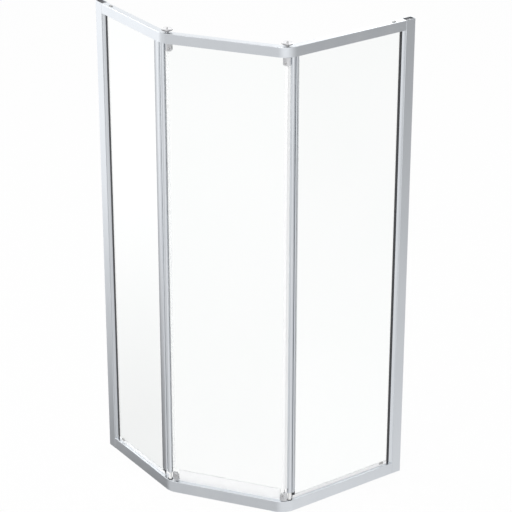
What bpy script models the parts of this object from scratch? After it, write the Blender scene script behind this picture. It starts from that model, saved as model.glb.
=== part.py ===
"""Corner shower enclosure with five sides: two walls of the room, two fixed glass sides and a pivot door.

The object stands on its tray at z = 0. The left wall is the plane at the lowest x, and the right wall is
the plane at the highest y. The room's corner is where they meet, and the door faces away from it.
"""
import math

import bmesh
import bpy
from mathutils import Matrix, Vector

# Whole enclosure
enclosure_height = 2.000
footprint_x = 0.888
footprint_y = 0.888
left_side = 0.475
right_side = 0.598
bend_radius = 0.080
fit_gap = 0.0003
cut_overrun = 0.002

# Rails
rail_depth = 0.028
rail_wall = 0.002
rail_edge = 0.0015
top_rail_face = 0.040
bottom_rail_face = 0.050
bend_steps = 10

# Wall channels and the profiles that slide in them
channel_width = 0.043
channel_wall = 0.0018
channel_lip_edge = 0.0016
channel_rise = 0.001
wall_hole_radius = 0.0032
wall_hole_height_shares = (0.08, 0.36, 0.64, 0.92)
profile_back = 0.018
profile_web = 0.006
profile_leg = 0.0018
profile_reach = 0.054
profile_top_drop = 0.015

# Side glass and its seals
side_glass_thickness = 0.005
side_glass_offset = 0.002
side_glass_top_gap = 0.0125
side_gasket = 0.0009
side_gasket_reach = 0.065
side_gasket_back_reach = 0.056
bead_height = 0.014
bead_wall = 0.0018
bead_floor = 0.0024

# Corner posts
post_past_column = {"left": 0.0246, "right": 0.0005}
post_lips = {"left": 0.0290, "right": 0.0051}
post_lip_curl = {"left": 0.0045, "right": 0.0030}
post_lip_steps = 3
post_lip_overlap = 0.0008
post_pocket_length = 0.0132
post_face_depth = 0.0005
post_skin = 0.002
post_slope_depth = 0.009
post_back_gap = 0.0005
post_rib = 0.002
post_lift = 0.035
post_gasket_show = 0.0012

# Corner columns and their feet
column_from_bend_middle = {"left": 0.0103, "right": 0.0236}
column_gap = 0.001
column_wall = 0.0015
column_lift = 0.035
foot_radius = 0.0078
foot_drop = 0.010
foot_plug = 0.022
cup_flange_radius = 0.011
cup_flange = 0.0015
cup_radius = 0.0093
cup_drop = 0.005

# Clips that hold the side glass near the walls
lower_clip_from_wall = 0.094
lower_clip_length = 0.018
lower_clip_drop = 0.006
lower_clip_rise = 0.0025
lower_clip_wall = 0.0022
upper_clip_from_wall = 0.093
upper_clip_length = 0.016
upper_clip_width = 0.009
upper_clip_height = 0.0022
upper_clip_stem = 0.005

# Joints between rails and wall channels
joint_block_start = 0.006
joint_block_end = 0.074
upper_joint_block = 0.008
lower_joint_block = 0.028

# Door, placed from its hinge axis and from its catch
hinge_offset = 0.0025
door_glass_thickness = 0.006
hinge_from_bend_middle = 0.0111
catch_offset = -0.0011
glass_past_hinge = 0.004
glass_past_catch = 0.003
glass_top_gap = 0.004
glass_notch_gap = 0.001

# Corner blocks of the door
block_width = 0.027
block_past_hinge = 0.008
block_past_catch = 0.014
block_front = 0.009
block_back = 0.009
upper_block_height = 0.031
lower_block_height = 0.034
block_clearance = 0.0008
block_corner = {"upper": 0.0025, "lower": 0.007}
block_front_cut = (0.010, 0.007)
block_back_cut = 0.004
block_slot = 0.0084
block_grip = 0.021
liner_wall = 0.0006
block_screw_radius = 0.0025
block_screw_head_radius = 0.005
block_screw_head = 0.0018
block_screw_place_share = 0.6
block_screw_from_slot_end = 0.011
block_screw_floor = 0.0015
glass_hole_radius = 0.0042
liner_hole_radius = 0.0047

# Pivots, catches and the round caps on the top rail
pivot_radius = 0.003
pivot_seat = 0.008
pivot_slack = 0.0003
bush_gap = 0.001
bush_drop = 0.0005
bush_engagement = 0.018
bush_web = 0.003
lower_bush_flange_radius = 0.009
lower_bush_flange = 0.0019
lower_bush_radius = 0.006
lower_bush_drop = 0.020
lower_bush_floor = 0.003
lower_pivot_reach = 0.016
magnet_radius = 0.004
magnet_height = 0.0045
keeper_radius = 0.007
keeper_thickness = 0.0015
cap_radius = 0.0215
cap_disc = 0.0045
cap_hub_radius = 0.008
cap_hub = 0.0105
cap_edge = 0.001
cap_screw_radius = 0.002
cap_screw_head_radius = 0.004
cap_screw_head = 0.0045
cap_screw_reach = 0.012

# Seals of the door
seal_wall = 0.0012
seal_lap = 0.009
seal_base = 0.0018
seal_end_gap = 0.002
bottom_seal_top = 0.053
bottom_seal_fin = 0.0012
bottom_seal_floor_gap = 0.0012
hinge_fin_radius = 0.0098
closing_fin_gap = 0.001

round_steps = 24
small_round_steps = 12


def finish(name, colour, roughness, metallic, alpha=1.0):
    """One Principled material, with its colour, roughness and metallic value."""
    material = bpy.data.materials.new(name)
    material.use_nodes = True
    shader = material.node_tree.nodes["Principled BSDF"]
    shader.inputs["Base Color"].default_value = (*colour, 1.0)
    shader.inputs["Roughness"].default_value = roughness
    shader.inputs["Metallic"].default_value = metallic
    shader.inputs["Alpha"].default_value = alpha
    material.diffuse_color = (*colour, alpha)
    return material


def satin_aluminium(name):
    return finish(name, (0.66, 0.67, 0.69), 0.32, 1.0)


def clear_glass(name):
    return finish(name, (0.93, 0.97, 0.96), 0.03, 0.0, 0.25)


def black_rubber(name):
    return finish(name, (0.05, 0.05, 0.055), 0.6, 0.0)


def white_plastic(name):
    return finish(name, (0.85, 0.85, 0.84), 0.35, 0.0)


def clear_plastic(name):
    return finish(name, (0.85, 0.88, 0.88), 0.2, 0.0, 0.5)


def grey_plastic(name):
    return finish(name, (0.22, 0.23, 0.24), 0.45, 0.0)


def bright_steel(name):
    return finish(name, (0.72, 0.72, 0.73), 0.18, 1.0)


class Run:
    """A straight stretch of the enclosure: x goes along it from its left end and y goes into the shower."""

    def __init__(self, start, end):
        span = Vector(end) - Vector(start)
        self.start = Vector(start)
        self.length = span.length
        self.angle = math.atan2(span.y, span.x)

    def matrix(self):
        place = Matrix.Translation((self.start.x, self.start.y, 0.0))
        return place @ Matrix.Rotation(self.angle, 4, "Z")

    def world(self, x, y):
        return (self.matrix() @ Vector((x, y, 0.0))).to_2d()

    def local(self, point):
        return (self.matrix().inverted() @ Vector((point[0], point[1], 0.0))).to_2d()


class Side(Run):
    """A fixed glass side: distances are taken from its wall or from its corner."""

    def __init__(self, name, start, end, wall_first):
        super().__init__(start, end)
        self.name = name
        self.wall_first = wall_first

    def from_wall(self, distance):
        return distance if self.wall_first else self.length - distance

    def from_corner(self, distance):
        return self.length - distance if self.wall_first else distance


def half(size):
    return size / 2


def middle_depth(offset):
    """Depth of a plane that lies a set offset behind the middle of the rails."""
    return half(rail_depth) + offset


def side_glass_front():
    return middle_depth(side_glass_offset) - half(side_glass_thickness)


def side_glass_back():
    return middle_depth(side_glass_offset) + half(side_glass_thickness)


def tangent_length(turn):
    """Distance from a corner of the outer faces to where the rail becomes straight."""
    return bend_radius * math.tan(half(turn))


def rail_point(before, after, distance, depth):
    """The plan point at a depth inside the rail, a distance along it from the middle of a bend."""
    turn = after.angle - before.angle
    radius = bend_radius - depth
    half_arc = radius * half(turn)
    if distance < -half_arc:
        return before.world(before.length - tangent_length(turn) + distance + half_arc, depth)
    if distance > half_arc:
        return after.world(tangent_length(turn) + distance - half_arc, depth)
    centre = after.world(tangent_length(turn), bend_radius)
    angle = before.angle + half(turn) + distance / radius
    return centre + Vector((math.sin(angle), -math.cos(angle))) * radius


def runs():
    """The left side, the door's run and the right side."""
    left_wall, left_corner, right_corner, right_wall = corner_points()
    left = Side("left", left_wall, left_corner, True)
    right = Side("right", right_corner, right_wall, False)
    return left, Run(left_corner, right_corner), right


def column_radius():
    """The column fills the rail's hollow from wall to wall, with a gap."""
    return half(rail_depth) - rail_wall - column_gap


def column_centre(side):
    """Place of the column's axis in the frame of its side."""
    left, middle, right = runs()
    distance = column_from_bend_middle[side.name]
    if side.name == "left":
        return side.local(rail_point(left, middle, -distance, middle_depth(0)))
    return side.local(rail_point(middle, right, distance, middle_depth(0)))


def column_place(side):
    """Distance of the column's axis from the corner of the outer faces."""
    along = column_centre(side).x
    return side.length - along if side.wall_first else along


def post_web(side):
    """Distance of the corner post's web from the corner of the outer faces."""
    return column_place(side) + column_radius() + post_past_column[side.name]


def post_end(side):
    return post_web(side) + post_pocket_length


def make_object(name, mesh_data, material, run=None, parent=None):
    """Links a finished bmesh as one named object, with its faces pointing out."""
    bmesh.ops.recalc_face_normals(mesh_data, faces=mesh_data.faces)
    mesh = bpy.data.meshes.new(name)
    mesh_data.to_mesh(mesh)
    mesh_data.free()
    mesh.materials.append(material(name + "_finish"))
    item = bpy.data.objects.new(name, mesh)
    bpy.context.scene.collection.objects.link(item)
    if parent is not None:
        item.parent = parent
    elif run is not None:
        item.location = (run.start.x, run.start.y, 0.0)
        item.rotation_euler = (0.0, 0.0, run.angle)
    return item


def add_prism(mesh_data, outline, low, high):
    """Adds a closed prism over a plan outline to the mesh."""
    floor_ring = [mesh_data.verts.new((x, y, low)) for x, y in outline]
    roof_ring = [mesh_data.verts.new((x, y, high)) for x, y in outline]
    mesh_data.faces.new(list(reversed(floor_ring)))
    mesh_data.faces.new(roof_ring)
    count = len(outline)
    for index in range(count):
        after = (index + 1) % count
        mesh_data.faces.new((floor_ring[index], floor_ring[after], roof_ring[after], roof_ring[index]))


def add_bar(mesh_data, outline, start, end):
    """Adds a closed bar along x, whose outline is given across it as y and z."""
    first_ring = [mesh_data.verts.new((start, y, z)) for y, z in outline]
    last_ring = [mesh_data.verts.new((end, y, z)) for y, z in outline]
    mesh_data.faces.new(list(reversed(first_ring)))
    mesh_data.faces.new(last_ring)
    count = len(outline)
    for index in range(count):
        after = (index + 1) % count
        mesh_data.faces.new((first_ring[index], first_ring[after], last_ring[after], last_ring[index]))


def rectangle(x_low, x_high, y_low, y_high):
    return [(x_low, y_low), (x_high, y_low), (x_high, y_high), (x_low, y_high)]


def circle(radius, steps):
    turn = math.tau / steps
    return [(radius * math.cos(turn * step), radius * math.sin(turn * step)) for step in range(steps)]


def add_turned(mesh_data, profile, steps, matrix):
    """Adds a turned solid. The profile runs from bottom to top as radius and height, and ends on the axis."""
    turns = [math.tau * step / steps for step in range(steps)]
    rings = []
    for radius, height in profile:
        if radius == 0:
            rings.append([mesh_data.verts.new(matrix @ Vector((0, 0, height)))])
            continue
        places = [Vector((radius * math.cos(turn), radius * math.sin(turn), height)) for turn in turns]
        rings.append([mesh_data.verts.new(matrix @ place) for place in places])
    for low, high in zip(rings[:-1], rings[1:]):
        for step in range(steps):
            after = (step + 1) % steps
            corners = [low[step % len(low)], low[after % len(low)]]
            corners += [high[after % len(high)], high[step % len(high)]]
            faces = list(dict.fromkeys(corners))
            if len(faces) > 2:
                mesh_data.faces.new(faces)


def turned(name, profile, x, y, material, run=None, parent=None, steps=round_steps):
    mesh_data = bmesh.new()
    add_turned(mesh_data, profile, steps, Matrix.Translation((x, y, 0.0)))
    item = make_object(name, mesh_data, material, run, parent)
    item.data.shade_smooth()
    item.data.set_sharp_from_angle(angle=math.radians(35))
    return item


def prism(name, outline, low, high, material, run=None, parent=None):
    mesh_data = bmesh.new()
    add_prism(mesh_data, outline, low, high)
    return make_object(name, mesh_data, material, run, parent)


def cutter(name, matrix, radius, low, high, steps=small_round_steps):
    """A round cutting tool along the matrix's own z. It is a tool and no piece of the object."""
    mesh_data = bmesh.new()
    add_turned(mesh_data, [(0, low), (radius, low), (radius, high), (0, high)], steps, matrix)
    bmesh.ops.recalc_face_normals(mesh_data, faces=mesh_data.faces)
    mesh = bpy.data.meshes.new(name)
    mesh_data.to_mesh(mesh)
    mesh_data.free()
    tool = bpy.data.objects.new(name, mesh)
    bpy.context.scene.collection.objects.link(tool)
    return as_tool(tool)


def as_tool(item):
    """Marks an object as a cutting tool, which is no piece of the enclosure."""
    item.hide_render = True
    item.display_type = "WIRE"
    return item


def prism_tool(name, outline, low, high, run):
    return as_tool(prism(name, outline, low, high, satin_aluminium, run))


def cut(item, tool):
    modifier = item.modifiers.new("cut " + tool.name, "BOOLEAN")
    modifier.operation = "DIFFERENCE"
    modifier.solver = "EXACT"
    modifier.object = tool


def corner_points():
    """The four plan points where the outer faces of the three panels start, meet and end."""
    x_edge = half(footprint_x)
    y_edge = half(footprint_y)
    left_wall = (-x_edge, -y_edge)
    left_corner = (left_side - x_edge, -y_edge)
    right_corner = (x_edge, y_edge - right_side)
    right_wall = (x_edge, y_edge)
    return left_wall, left_corner, right_corner, right_wall


def bend_stations(before, after):
    """Stations round one bend, as outer face point and inward direction."""
    turn = after.angle - before.angle
    centre = after.world(tangent_length(turn), bend_radius)
    stations = []
    for step in range(bend_steps + 1):
        angle = before.angle + turn * step / bend_steps
        inward = Vector((-math.sin(angle), math.cos(angle)))
        stations.append((centre - inward * bend_radius, inward))
    return stations


def rail_stations(left, middle, right):
    """Stations of a whole rail, from the left wall channel round both bends to the right one."""
    end_x = channel_width + fit_gap
    first_inward = Vector((-math.sin(left.angle), math.cos(left.angle)))
    last_inward = Vector((-math.sin(right.angle), math.cos(right.angle)))
    stations = [(left.world(end_x, 0.0), first_inward)]
    stations += bend_stations(left, middle)
    stations += bend_stations(middle, right)
    stations.append((right.world(right.length - end_x, 0.0), last_inward))
    return stations


def sweep(name, stations, rings, material):
    """Sweeps a section along the stations. A second ring is the hollow of a tube."""
    mesh_data = bmesh.new()
    tracks = []
    for ring in rings:
        track = []
        for point, inward in stations:
            places = [(*(point + inward * depth), height) for depth, height in ring]
            track.append([mesh_data.verts.new(place) for place in places])
        tracks.append(track)
    count = len(rings[0])
    for track in tracks:
        for near, far in zip(track[:-1], track[1:]):
            for index in range(count):
                after = (index + 1) % count
                mesh_data.faces.new((near[index], near[after], far[after], far[index]))
    for end in (0, -1):
        if len(tracks) == 1:
            mesh_data.faces.new(tracks[0][end])
            continue
        outer, inner = tracks[0][end], tracks[1][end]
        for index in range(count):
            after = (index + 1) % count
            mesh_data.faces.new((outer[index], outer[after], inner[after], inner[index]))
    return make_object(name, mesh_data, material)


def box_ring(low_depth, high_depth, low, high, edge):
    """A rectangle with cut corners, as depth and height."""
    return [
        (low_depth + edge, low), (high_depth - edge, low), (high_depth, low + edge), (high_depth, high - edge),
        (high_depth - edge, high), (low_depth + edge, high), (low_depth, high - edge), (low_depth, low + edge),
    ]


def make_top_rail(stations):
    """The bent top rail, an upturned channel whose open side faces down."""
    top = enclosure_height
    low = enclosure_height - top_rail_face
    inside = rail_depth - rail_wall
    section = [
        (0.0, low), (0.0, top - rail_edge), (rail_edge, top), (rail_depth - rail_edge, top),
        (rail_depth, top - rail_edge), (rail_depth, low), (inside, low), (inside, top - rail_wall),
        (rail_wall, top - rail_wall), (rail_wall, low),
    ]
    return sweep("top_rail", stations, [section], satin_aluminium)


def make_bottom_rail(stations):
    """The bent bottom rail, a closed tube that is open at its two ends."""
    outer = box_ring(0.0, rail_depth, 0.0, bottom_rail_face, rail_edge)
    inner = box_ring(rail_wall, rail_depth - rail_wall, rail_wall, bottom_rail_face - rail_wall, half(rail_edge))
    return sweep("bottom_rail", stations, [outer, inner], satin_aluminium)


def spread(low, high, shares):
    return [low + (high - low) * share for share in shares]


def along_x(side, x, y, z):
    """A matrix whose z goes along the side's run, for tools and screws that enter from its end."""
    return side.matrix() @ Matrix.Translation((x, y, z)) @ Matrix.Rotation(math.radians(90), 4, "Y")


def outward(x, y, z):
    """A local matrix whose z points out of the shower."""
    return Matrix.Translation((x, y, z)) @ Matrix.Rotation(math.radians(90), 4, "X")


def mirrored_outline(side, outline):
    """Turns an outline given as distance from the wall into the side's own x."""
    return [(side.from_wall(distance), depth) for distance, depth in outline]


def make_wall_channel(side):
    """The channel that is screwed to the wall, with its open side towards the glass."""
    back = rail_depth - channel_wall
    mouth = channel_width - channel_lip_edge
    outline = [
        (0.0, 0.0), (mouth, 0.0), (channel_width, channel_lip_edge), (channel_width, channel_wall),
        (channel_wall, channel_wall), (channel_wall, back), (channel_width, back),
        (channel_width, rail_depth - channel_lip_edge), (mouth, rail_depth), (0.0, rail_depth),
    ]
    top = enclosure_height + channel_rise
    channel = prism(side.name + "_wall_channel", mirrored_outline(side, outline), 0.0, top, satin_aluminium, side)
    for number, height in enumerate(spread(0.0, enclosure_height, wall_hole_height_shares)):
        place = along_x(side, side.from_wall(half(channel_wall)), half(rail_depth), height)
        name = "{}_wall_hole_{}".format(side.name, number)
        cut(channel, cutter(name, place, wall_hole_radius, -cut_overrun, cut_overrun))
    return channel


def glass_front_leg():
    """Depth of the outer and inner faces of the leg in front of the side glass."""
    inner = side_glass_front() - side_gasket - fit_gap - fit_gap
    return inner - profile_leg, inner


def glass_back_leg():
    inner = side_glass_back() + side_gasket + fit_gap + fit_gap
    return inner, inner + profile_leg


def make_wall_profile(side):
    """The profile that slides in the wall channel to take up a wall that leans, and holds the glass."""
    front_out, front_in = glass_front_leg()
    back_in, back_out = glass_back_leg()
    near = channel_wall + fit_gap
    far = rail_depth - channel_wall - fit_gap
    web_end = profile_back + profile_web
    outline = [
        (profile_back, near), (channel_width, near), (profile_reach, front_out),
        (profile_reach, front_in), (web_end, front_in), (web_end, back_in), (profile_reach, back_in),
        (profile_reach, back_out), (web_end, back_out), (web_end, far), (profile_back, far),
    ]
    low = bottom_rail_face + fit_gap
    high = enclosure_height - profile_top_drop
    name = side.name + "_wall_profile"
    profile = prism(name, mirrored_outline(side, outline), low, high, satin_aluminium, side)
    hollow = mirrored_outline(side, profile_hollow(near, front_out))
    cut(profile, prism_tool(name + "_hollow", hollow, low - cut_overrun, high + cut_overrun, side))
    return profile


def profile_hollow(near, front_out):
    """The hollow behind the profile's sloped face, which leaves a skin of one leg's thickness."""
    run = profile_reach - channel_width
    fall = front_out - near
    slope = math.hypot(run, fall)
    skin = near + profile_leg
    shift = profile_leg * (slope - run) / fall
    low_end = channel_width - shift
    high_end = low_end + (front_out - skin) * run / fall
    web_end = profile_back + profile_web
    return [(web_end, skin), (low_end, skin), (high_end, front_out), (web_end, front_out)]


def screw_profile(radius, head_radius, head, length):
    """A screw whose head stands on z = 0 and whose thread goes down."""
    crown = head / 3
    return [
        (0, -length), (radius, -length), (radius, 0), (head_radius, 0),
        (head_radius, head - crown), (head_radius - crown, head), (0, head),
    ]


def pocket_floor_at_wall():
    """Distance from the wall to the floor of the sliding profile's glass pocket."""
    return profile_back + profile_web


def pocket_floor_at_corner(side):
    """Distance from the corner to the floor of the corner post's glass pocket."""
    return post_web(side) + post_skin


def gasket_outline(floor, front_reach, back_reach):
    """A gasket bent round the glass's edge, as distance and depth, with a leg on each face."""
    inner_front = side_glass_front() - fit_gap
    inner_back = side_glass_back() + fit_gap
    outer_front = inner_front - side_gasket
    outer_back = inner_back + side_gasket
    base = floor + fit_gap
    crook = base + side_gasket
    return [
        (base, outer_front), (front_reach, outer_front), (front_reach, inner_front), (crook, inner_front),
        (crook, inner_back), (back_reach, inner_back), (back_reach, outer_back), (base, outer_back),
    ]


def make_wall_gasket(side):
    """The dark gasket round the wall edge of the side glass. Its front leg shows beside the profile."""
    outline = gasket_outline(pocket_floor_at_wall(), side_gasket_reach, side_gasket_back_reach)
    low = bottom_rail_face + fit_gap
    high = enclosure_height - top_rail_face - fit_gap
    return prism(side.name + "_wall_gasket", mirrored_outline(side, outline), low, high, black_rubber, side)


def side_glass_ends(side):
    """The two ends of the side glass along its run."""
    wall_end = side.from_wall(pocket_floor_at_wall() + fit_gap + side_gasket + fit_gap)
    corner_end = side.from_corner(pocket_floor_at_corner(side) + fit_gap + side_gasket + fit_gap)
    return min(wall_end, corner_end), max(wall_end, corner_end)


def side_glass_top():
    return enclosure_height - side_glass_top_gap


def make_side_glass(side):
    start, end = side_glass_ends(side)
    low = bottom_rail_face + fit_gap + bead_floor + fit_gap
    outline = rectangle(start, end, side_glass_front(), side_glass_back())
    return prism(side.name + "_side_glass", outline, low, side_glass_top(), clear_glass, side)


def bead_ends(side):
    """The bead runs from the wall gasket to the corner end of the side glass."""
    wall_end = side.from_wall(side_gasket_reach + fit_gap)
    corner_end = side.from_corner(pocket_floor_at_corner(side))
    return min(wall_end, corner_end), max(wall_end, corner_end)


def make_bottom_bead(side):
    """The pale channel that carries the side glass on the bottom rail."""
    start, end = bead_ends(side)
    inner_near = side_glass_front() - fit_gap
    inner_far = side_glass_back() + fit_gap
    low = bottom_rail_face + fit_gap
    high = low + bead_height - fit_gap
    floor_top = low + bead_floor
    outline = [
        (inner_near - bead_wall, low), (inner_far + bead_wall, low), (inner_far + bead_wall, high),
        (inner_far, high), (inner_far, floor_top), (inner_near, floor_top), (inner_near, high),
        (inner_near - bead_wall, high),
    ]
    mesh_data = bmesh.new()
    add_bar(mesh_data, outline, start, end)
    return make_object(side.name + "_bottom_bead", mesh_data, clear_plastic, side)


def top_bead_levels():
    high = side_glass_top() + fit_gap + bead_floor
    return high - bead_height, high


def make_top_bead(side):
    """The slotted bar inside the top rail that holds the side glass's upper edge."""
    low, high = top_bead_levels()
    near = rail_wall + fit_gap
    far = rail_depth - rail_wall - fit_gap
    slot_near = side_glass_front() - fit_gap
    slot_far = side_glass_back() + fit_gap
    slot_top = side_glass_top() + fit_gap
    outline = [
        (near, low), (slot_near, low), (slot_near, slot_top), (slot_far, slot_top), (slot_far, low),
        (far, low), (far, high), (near, high),
    ]
    bend_end = tangent_length(bend_angles()[side.name])
    wall_end = side.from_wall(joint_block_end + fit_gap)
    corner_end = side.from_corner(max(bend_end, post_end(side)) + fit_gap)
    mesh_data = bmesh.new()
    add_bar(mesh_data, outline, min(wall_end, corner_end), max(wall_end, corner_end))
    return make_object(side.name + "_top_bead", mesh_data, grey_plastic, side)


def make_corner_post(side):
    """The upright that holds the corner edge of the side glass. Its rib meets the corner column."""
    front_in = glass_front_leg()[1]
    back_in = glass_back_leg()[0]
    web = post_web(side)
    end = post_end(side)
    lip = web - post_lips[side.name]
    lip_end = web + post_lip_overlap
    pocket = pocket_floor_at_corner(side)
    rib_end = column_place(side) + column_radius() + fit_gap
    rib_near = column_centre(side).y - half(post_rib)
    rib_far = rib_near + post_rib
    back = rail_depth - post_back_gap
    curl = post_lip_curl[side.name]
    outline = lip_arc(lip, curl, curl) + [
        (lip_end, post_face_depth), (end, post_face_depth + post_slope_depth),
        (end, front_in), (pocket, front_in), (pocket, back_in), (end, back_in), (end, back), (web, back),
        (web, rib_far), (rib_end, rib_far), (rib_end, rib_near), (web, rib_near),
        (web, post_face_depth + post_skin),
    ]
    outline += reversed(lip_arc(lip, curl, curl - post_skin))
    outline = [(side.from_corner(distance), depth) for distance, depth in outline]
    low = bottom_rail_face + post_lift
    high = enclosure_height - top_rail_face - fit_gap
    return prism(side.name + "_corner_post", outline, low, high, satin_aluminium, side)


def lip_arc(lip, curl, radius):
    """Points round the curled end of a post's lip, from its free end to its face."""
    points = []
    for step in range(post_lip_steps + 1):
        angle = math.radians(90) * step / post_lip_steps
        distance = lip + curl - radius * math.cos(angle)
        points.append((distance, post_face_depth + curl - radius * math.sin(angle)))
    return points


def make_post_gasket(side):
    """The dark gasket round the corner edge of the side glass."""
    end = post_end(side)
    outline = gasket_outline(pocket_floor_at_corner(side), end + post_gasket_show, end)
    outline = [(side.from_corner(distance), depth) for distance, depth in outline]
    low = bottom_rail_face + bead_height + fit_gap
    high = enclosure_height - top_rail_face - fit_gap
    return prism(side.name + "_post_gasket", outline, low, high, black_rubber, side)


def make_column(side):
    """The round column beside the door. It stops above the bottom rail and stands on its foot."""
    outer = circle(column_radius(), round_steps)
    inner = circle(column_radius() - column_wall, round_steps)
    low = bottom_rail_face + column_lift
    high = enclosure_height - rail_wall - fit_gap
    x, depth = column_centre(side)
    mesh_data = bmesh.new()
    rings = []
    for ring, height in ((outer, low), (outer, high), (inner, high), (inner, low)):
        rings.append([mesh_data.verts.new((x + px, depth + py, height)) for px, py in ring])
    for near, far in zip(rings, rings[1:] + rings[:1]):
        for step in range(round_steps):
            after = (step + 1) % round_steps
            mesh_data.faces.new((near[step], near[after], far[after], far[step]))
    column = make_object(side.name + "_corner_column", mesh_data, satin_aluminium, side)
    column.data.shade_smooth()
    column.data.set_sharp_from_angle(angle=math.radians(35))
    return column


def make_column_foot(side):
    """The white foot pin: its plug fills the column's end and its pin stands in the cup."""
    plug_radius = column_radius() - column_wall - fit_gap
    rail_top = bottom_rail_face
    plug_low = rail_top + column_lift + fit_gap
    profile = [
        (0, rail_top - foot_drop), (foot_radius, rail_top - foot_drop), (foot_radius, plug_low),
        (plug_radius, plug_low), (plug_radius, plug_low + foot_plug), (0, plug_low + foot_plug),
    ]
    return turned(side.name + "_column_foot", profile, *column_centre(side), white_plastic, side)


def make_foot_cup(side):
    """The dark cup in the bottom rail that takes the foot pin."""
    bore = foot_radius + fit_gap
    rail_top = bottom_rail_face
    flange_low = rail_top + fit_gap
    profile = [
        (bore, rail_top - cup_drop), (cup_radius, rail_top - cup_drop), (cup_radius, flange_low),
        (cup_flange_radius, flange_low), (cup_flange_radius, flange_low + cup_flange),
        (bore, flange_low + cup_flange), (bore, rail_top - cup_drop),
    ]
    mesh_data = bmesh.new()
    add_turned(mesh_data, profile, round_steps, Matrix.Translation((*column_centre(side), 0.0)))
    bmesh.ops.remove_doubles(mesh_data, verts=mesh_data.verts, dist=fit_gap / 10)
    return make_object(side.name + "_foot_cup", mesh_data, black_rubber, side)


def cut_cup_hole(side, rail):
    place = side.matrix() @ Matrix.Translation((*column_centre(side), bottom_rail_face))
    radius = cup_radius + fit_gap
    tool = cutter(side.name + "_cup_hole", place, radius, -rail_wall - cut_overrun, cut_overrun, round_steps)
    cut(rail, tool)


def make_lower_clip(side):
    """The small clip that hooks over the bottom bead and keeps the glass in it near the wall."""
    x = side.from_wall(lower_clip_from_wall)
    inner = side_glass_front() - fit_gap
    leg = inner - bead_wall - fit_gap
    outer = leg - lower_clip_wall
    seat = bottom_rail_face + fit_gap + bead_height
    top = seat + lower_clip_rise
    outline = [
        (outer, seat - lower_clip_drop), (leg, seat - lower_clip_drop), (leg, seat), (inner, seat), (inner, top),
        (leg, top), (outer, seat),
    ]
    mesh_data = bmesh.new()
    add_bar(mesh_data, outline, x - half(lower_clip_length), x + half(lower_clip_length))
    return make_object(side.name + "_lower_clip", mesh_data, grey_plastic, side)


def upper_clip_place(side):
    return side.from_wall(upper_clip_from_wall), side_glass_front()


def make_upper_clip(side):
    """The dark plug on the top rail whose stem holds the glass from above."""
    x, depth = upper_clip_place(side)
    top = enclosure_height
    mesh_data = bmesh.new()
    add_prism(
        mesh_data,
        rectangle(
            x - half(upper_clip_length), x + half(upper_clip_length),
            depth - half(upper_clip_width), depth + half(upper_clip_width)),
        top + fit_gap, top + fit_gap + upper_clip_height)
    clip = make_object(side.name + "_upper_clip", mesh_data, grey_plastic, side)
    stem_data = bmesh.new()
    stem_low = top_bead_levels()[1] + fit_gap
    stem_radius = half(upper_clip_stem)
    stem_profile = [(0, stem_low), (stem_radius, stem_low), (stem_radius, top + upper_clip_height)]
    stem_profile.append((0, top + upper_clip_height))
    add_turned(stem_data, stem_profile, small_round_steps, Matrix.Translation((x, depth, 0.0)))
    stem = as_tool(make_object(side.name + "_upper_clip_stem", stem_data, grey_plastic, side))
    join = clip.modifiers.new("stem", "BOOLEAN")
    join.operation = "UNION"
    join.solver = "EXACT"
    join.object = stem
    return clip


def cut_clip_hole(side, rail):
    x, depth = upper_clip_place(side)
    place = side.matrix() @ Matrix.Translation((x, depth, enclosure_height))
    radius = half(upper_clip_stem) + fit_gap
    cut(rail, cutter(side.name + "_clip_hole", place, radius, -rail_wall - cut_overrun, cut_overrun))


def joint_levels():
    """Heights of the upper and the lower joint block."""
    upper_high = enclosure_height - rail_wall - fit_gap
    lower_low = rail_wall + fit_gap
    return (upper_high - upper_joint_block, upper_high), (lower_low, lower_low + lower_joint_block)


def make_joint_blocks(side):
    """The blocks that lie inside the wall channel and the rails and join them."""
    near = rail_wall + fit_gap
    far = rail_depth - rail_wall - fit_gap
    blocks = []
    for level, (low, high) in zip(("upper", "lower"), joint_levels()):
        ends = (side.from_wall(joint_block_start), side.from_wall(joint_block_end))
        mesh_data = bmesh.new()
        add_bar(mesh_data, box_ring(near, far, low, high, rail_edge), min(ends), max(ends))
        name = "{}_{}_joint_block".format(side.name, level)
        blocks.append(make_object(name, mesh_data, grey_plastic, side))
    return blocks


def bend_angles():
    left, middle, right = runs()
    return {"left": middle.angle - left.angle, "right": right.angle - middle.angle}


class Door:
    """The door's places: x along the door from its axis, y into the shower."""

    def __init__(self, run):
        self.run = run
        left, middle, right = runs()
        hinge = rail_point(left, middle, hinge_from_bend_middle, middle_depth(hinge_offset))
        catch = rail_point(middle, right, 0.0, middle_depth(catch_offset))
        self.axis = run.local(hinge)
        self.catch = run.local(catch)
        self.empty = bpy.data.objects.new("door_axis", None)
        bpy.context.scene.collection.objects.link(self.empty)
        place = run.world(*self.axis)
        self.empty.location = (place.x, place.y, 0.0)
        self.empty.rotation_euler = (0.0, 0.0, run.angle)

    def x(self, along):
        return along - self.axis[0]

    def y(self, depth):
        return depth - self.axis[1]

    def glass_ends(self):
        return -glass_past_hinge, self.x(self.catch[0]) + glass_past_catch

    def block_ends(self, hand):
        """The end of a block at the door's edge, and the way from there to the door's middle."""
        if hand == "hinge":
            return -block_past_hinge, 1
        return self.x(self.catch[0]) + block_past_catch, -1


def upper_block_levels():
    high = enclosure_height - top_rail_face - block_clearance
    return high - upper_block_height, high


def lower_block_levels():
    low = bottom_rail_face + fit_gap + lower_bush_flange + fit_gap
    return low, low + lower_block_height


def glass_levels():
    """Lowest and highest edge of the door's glass: each stops a gap and a liner from its slot's end."""
    step = fit_gap + liner_wall + fit_gap
    return lower_block_levels()[1] - block_grip + step, upper_block_levels()[0] + block_grip - step


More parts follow.
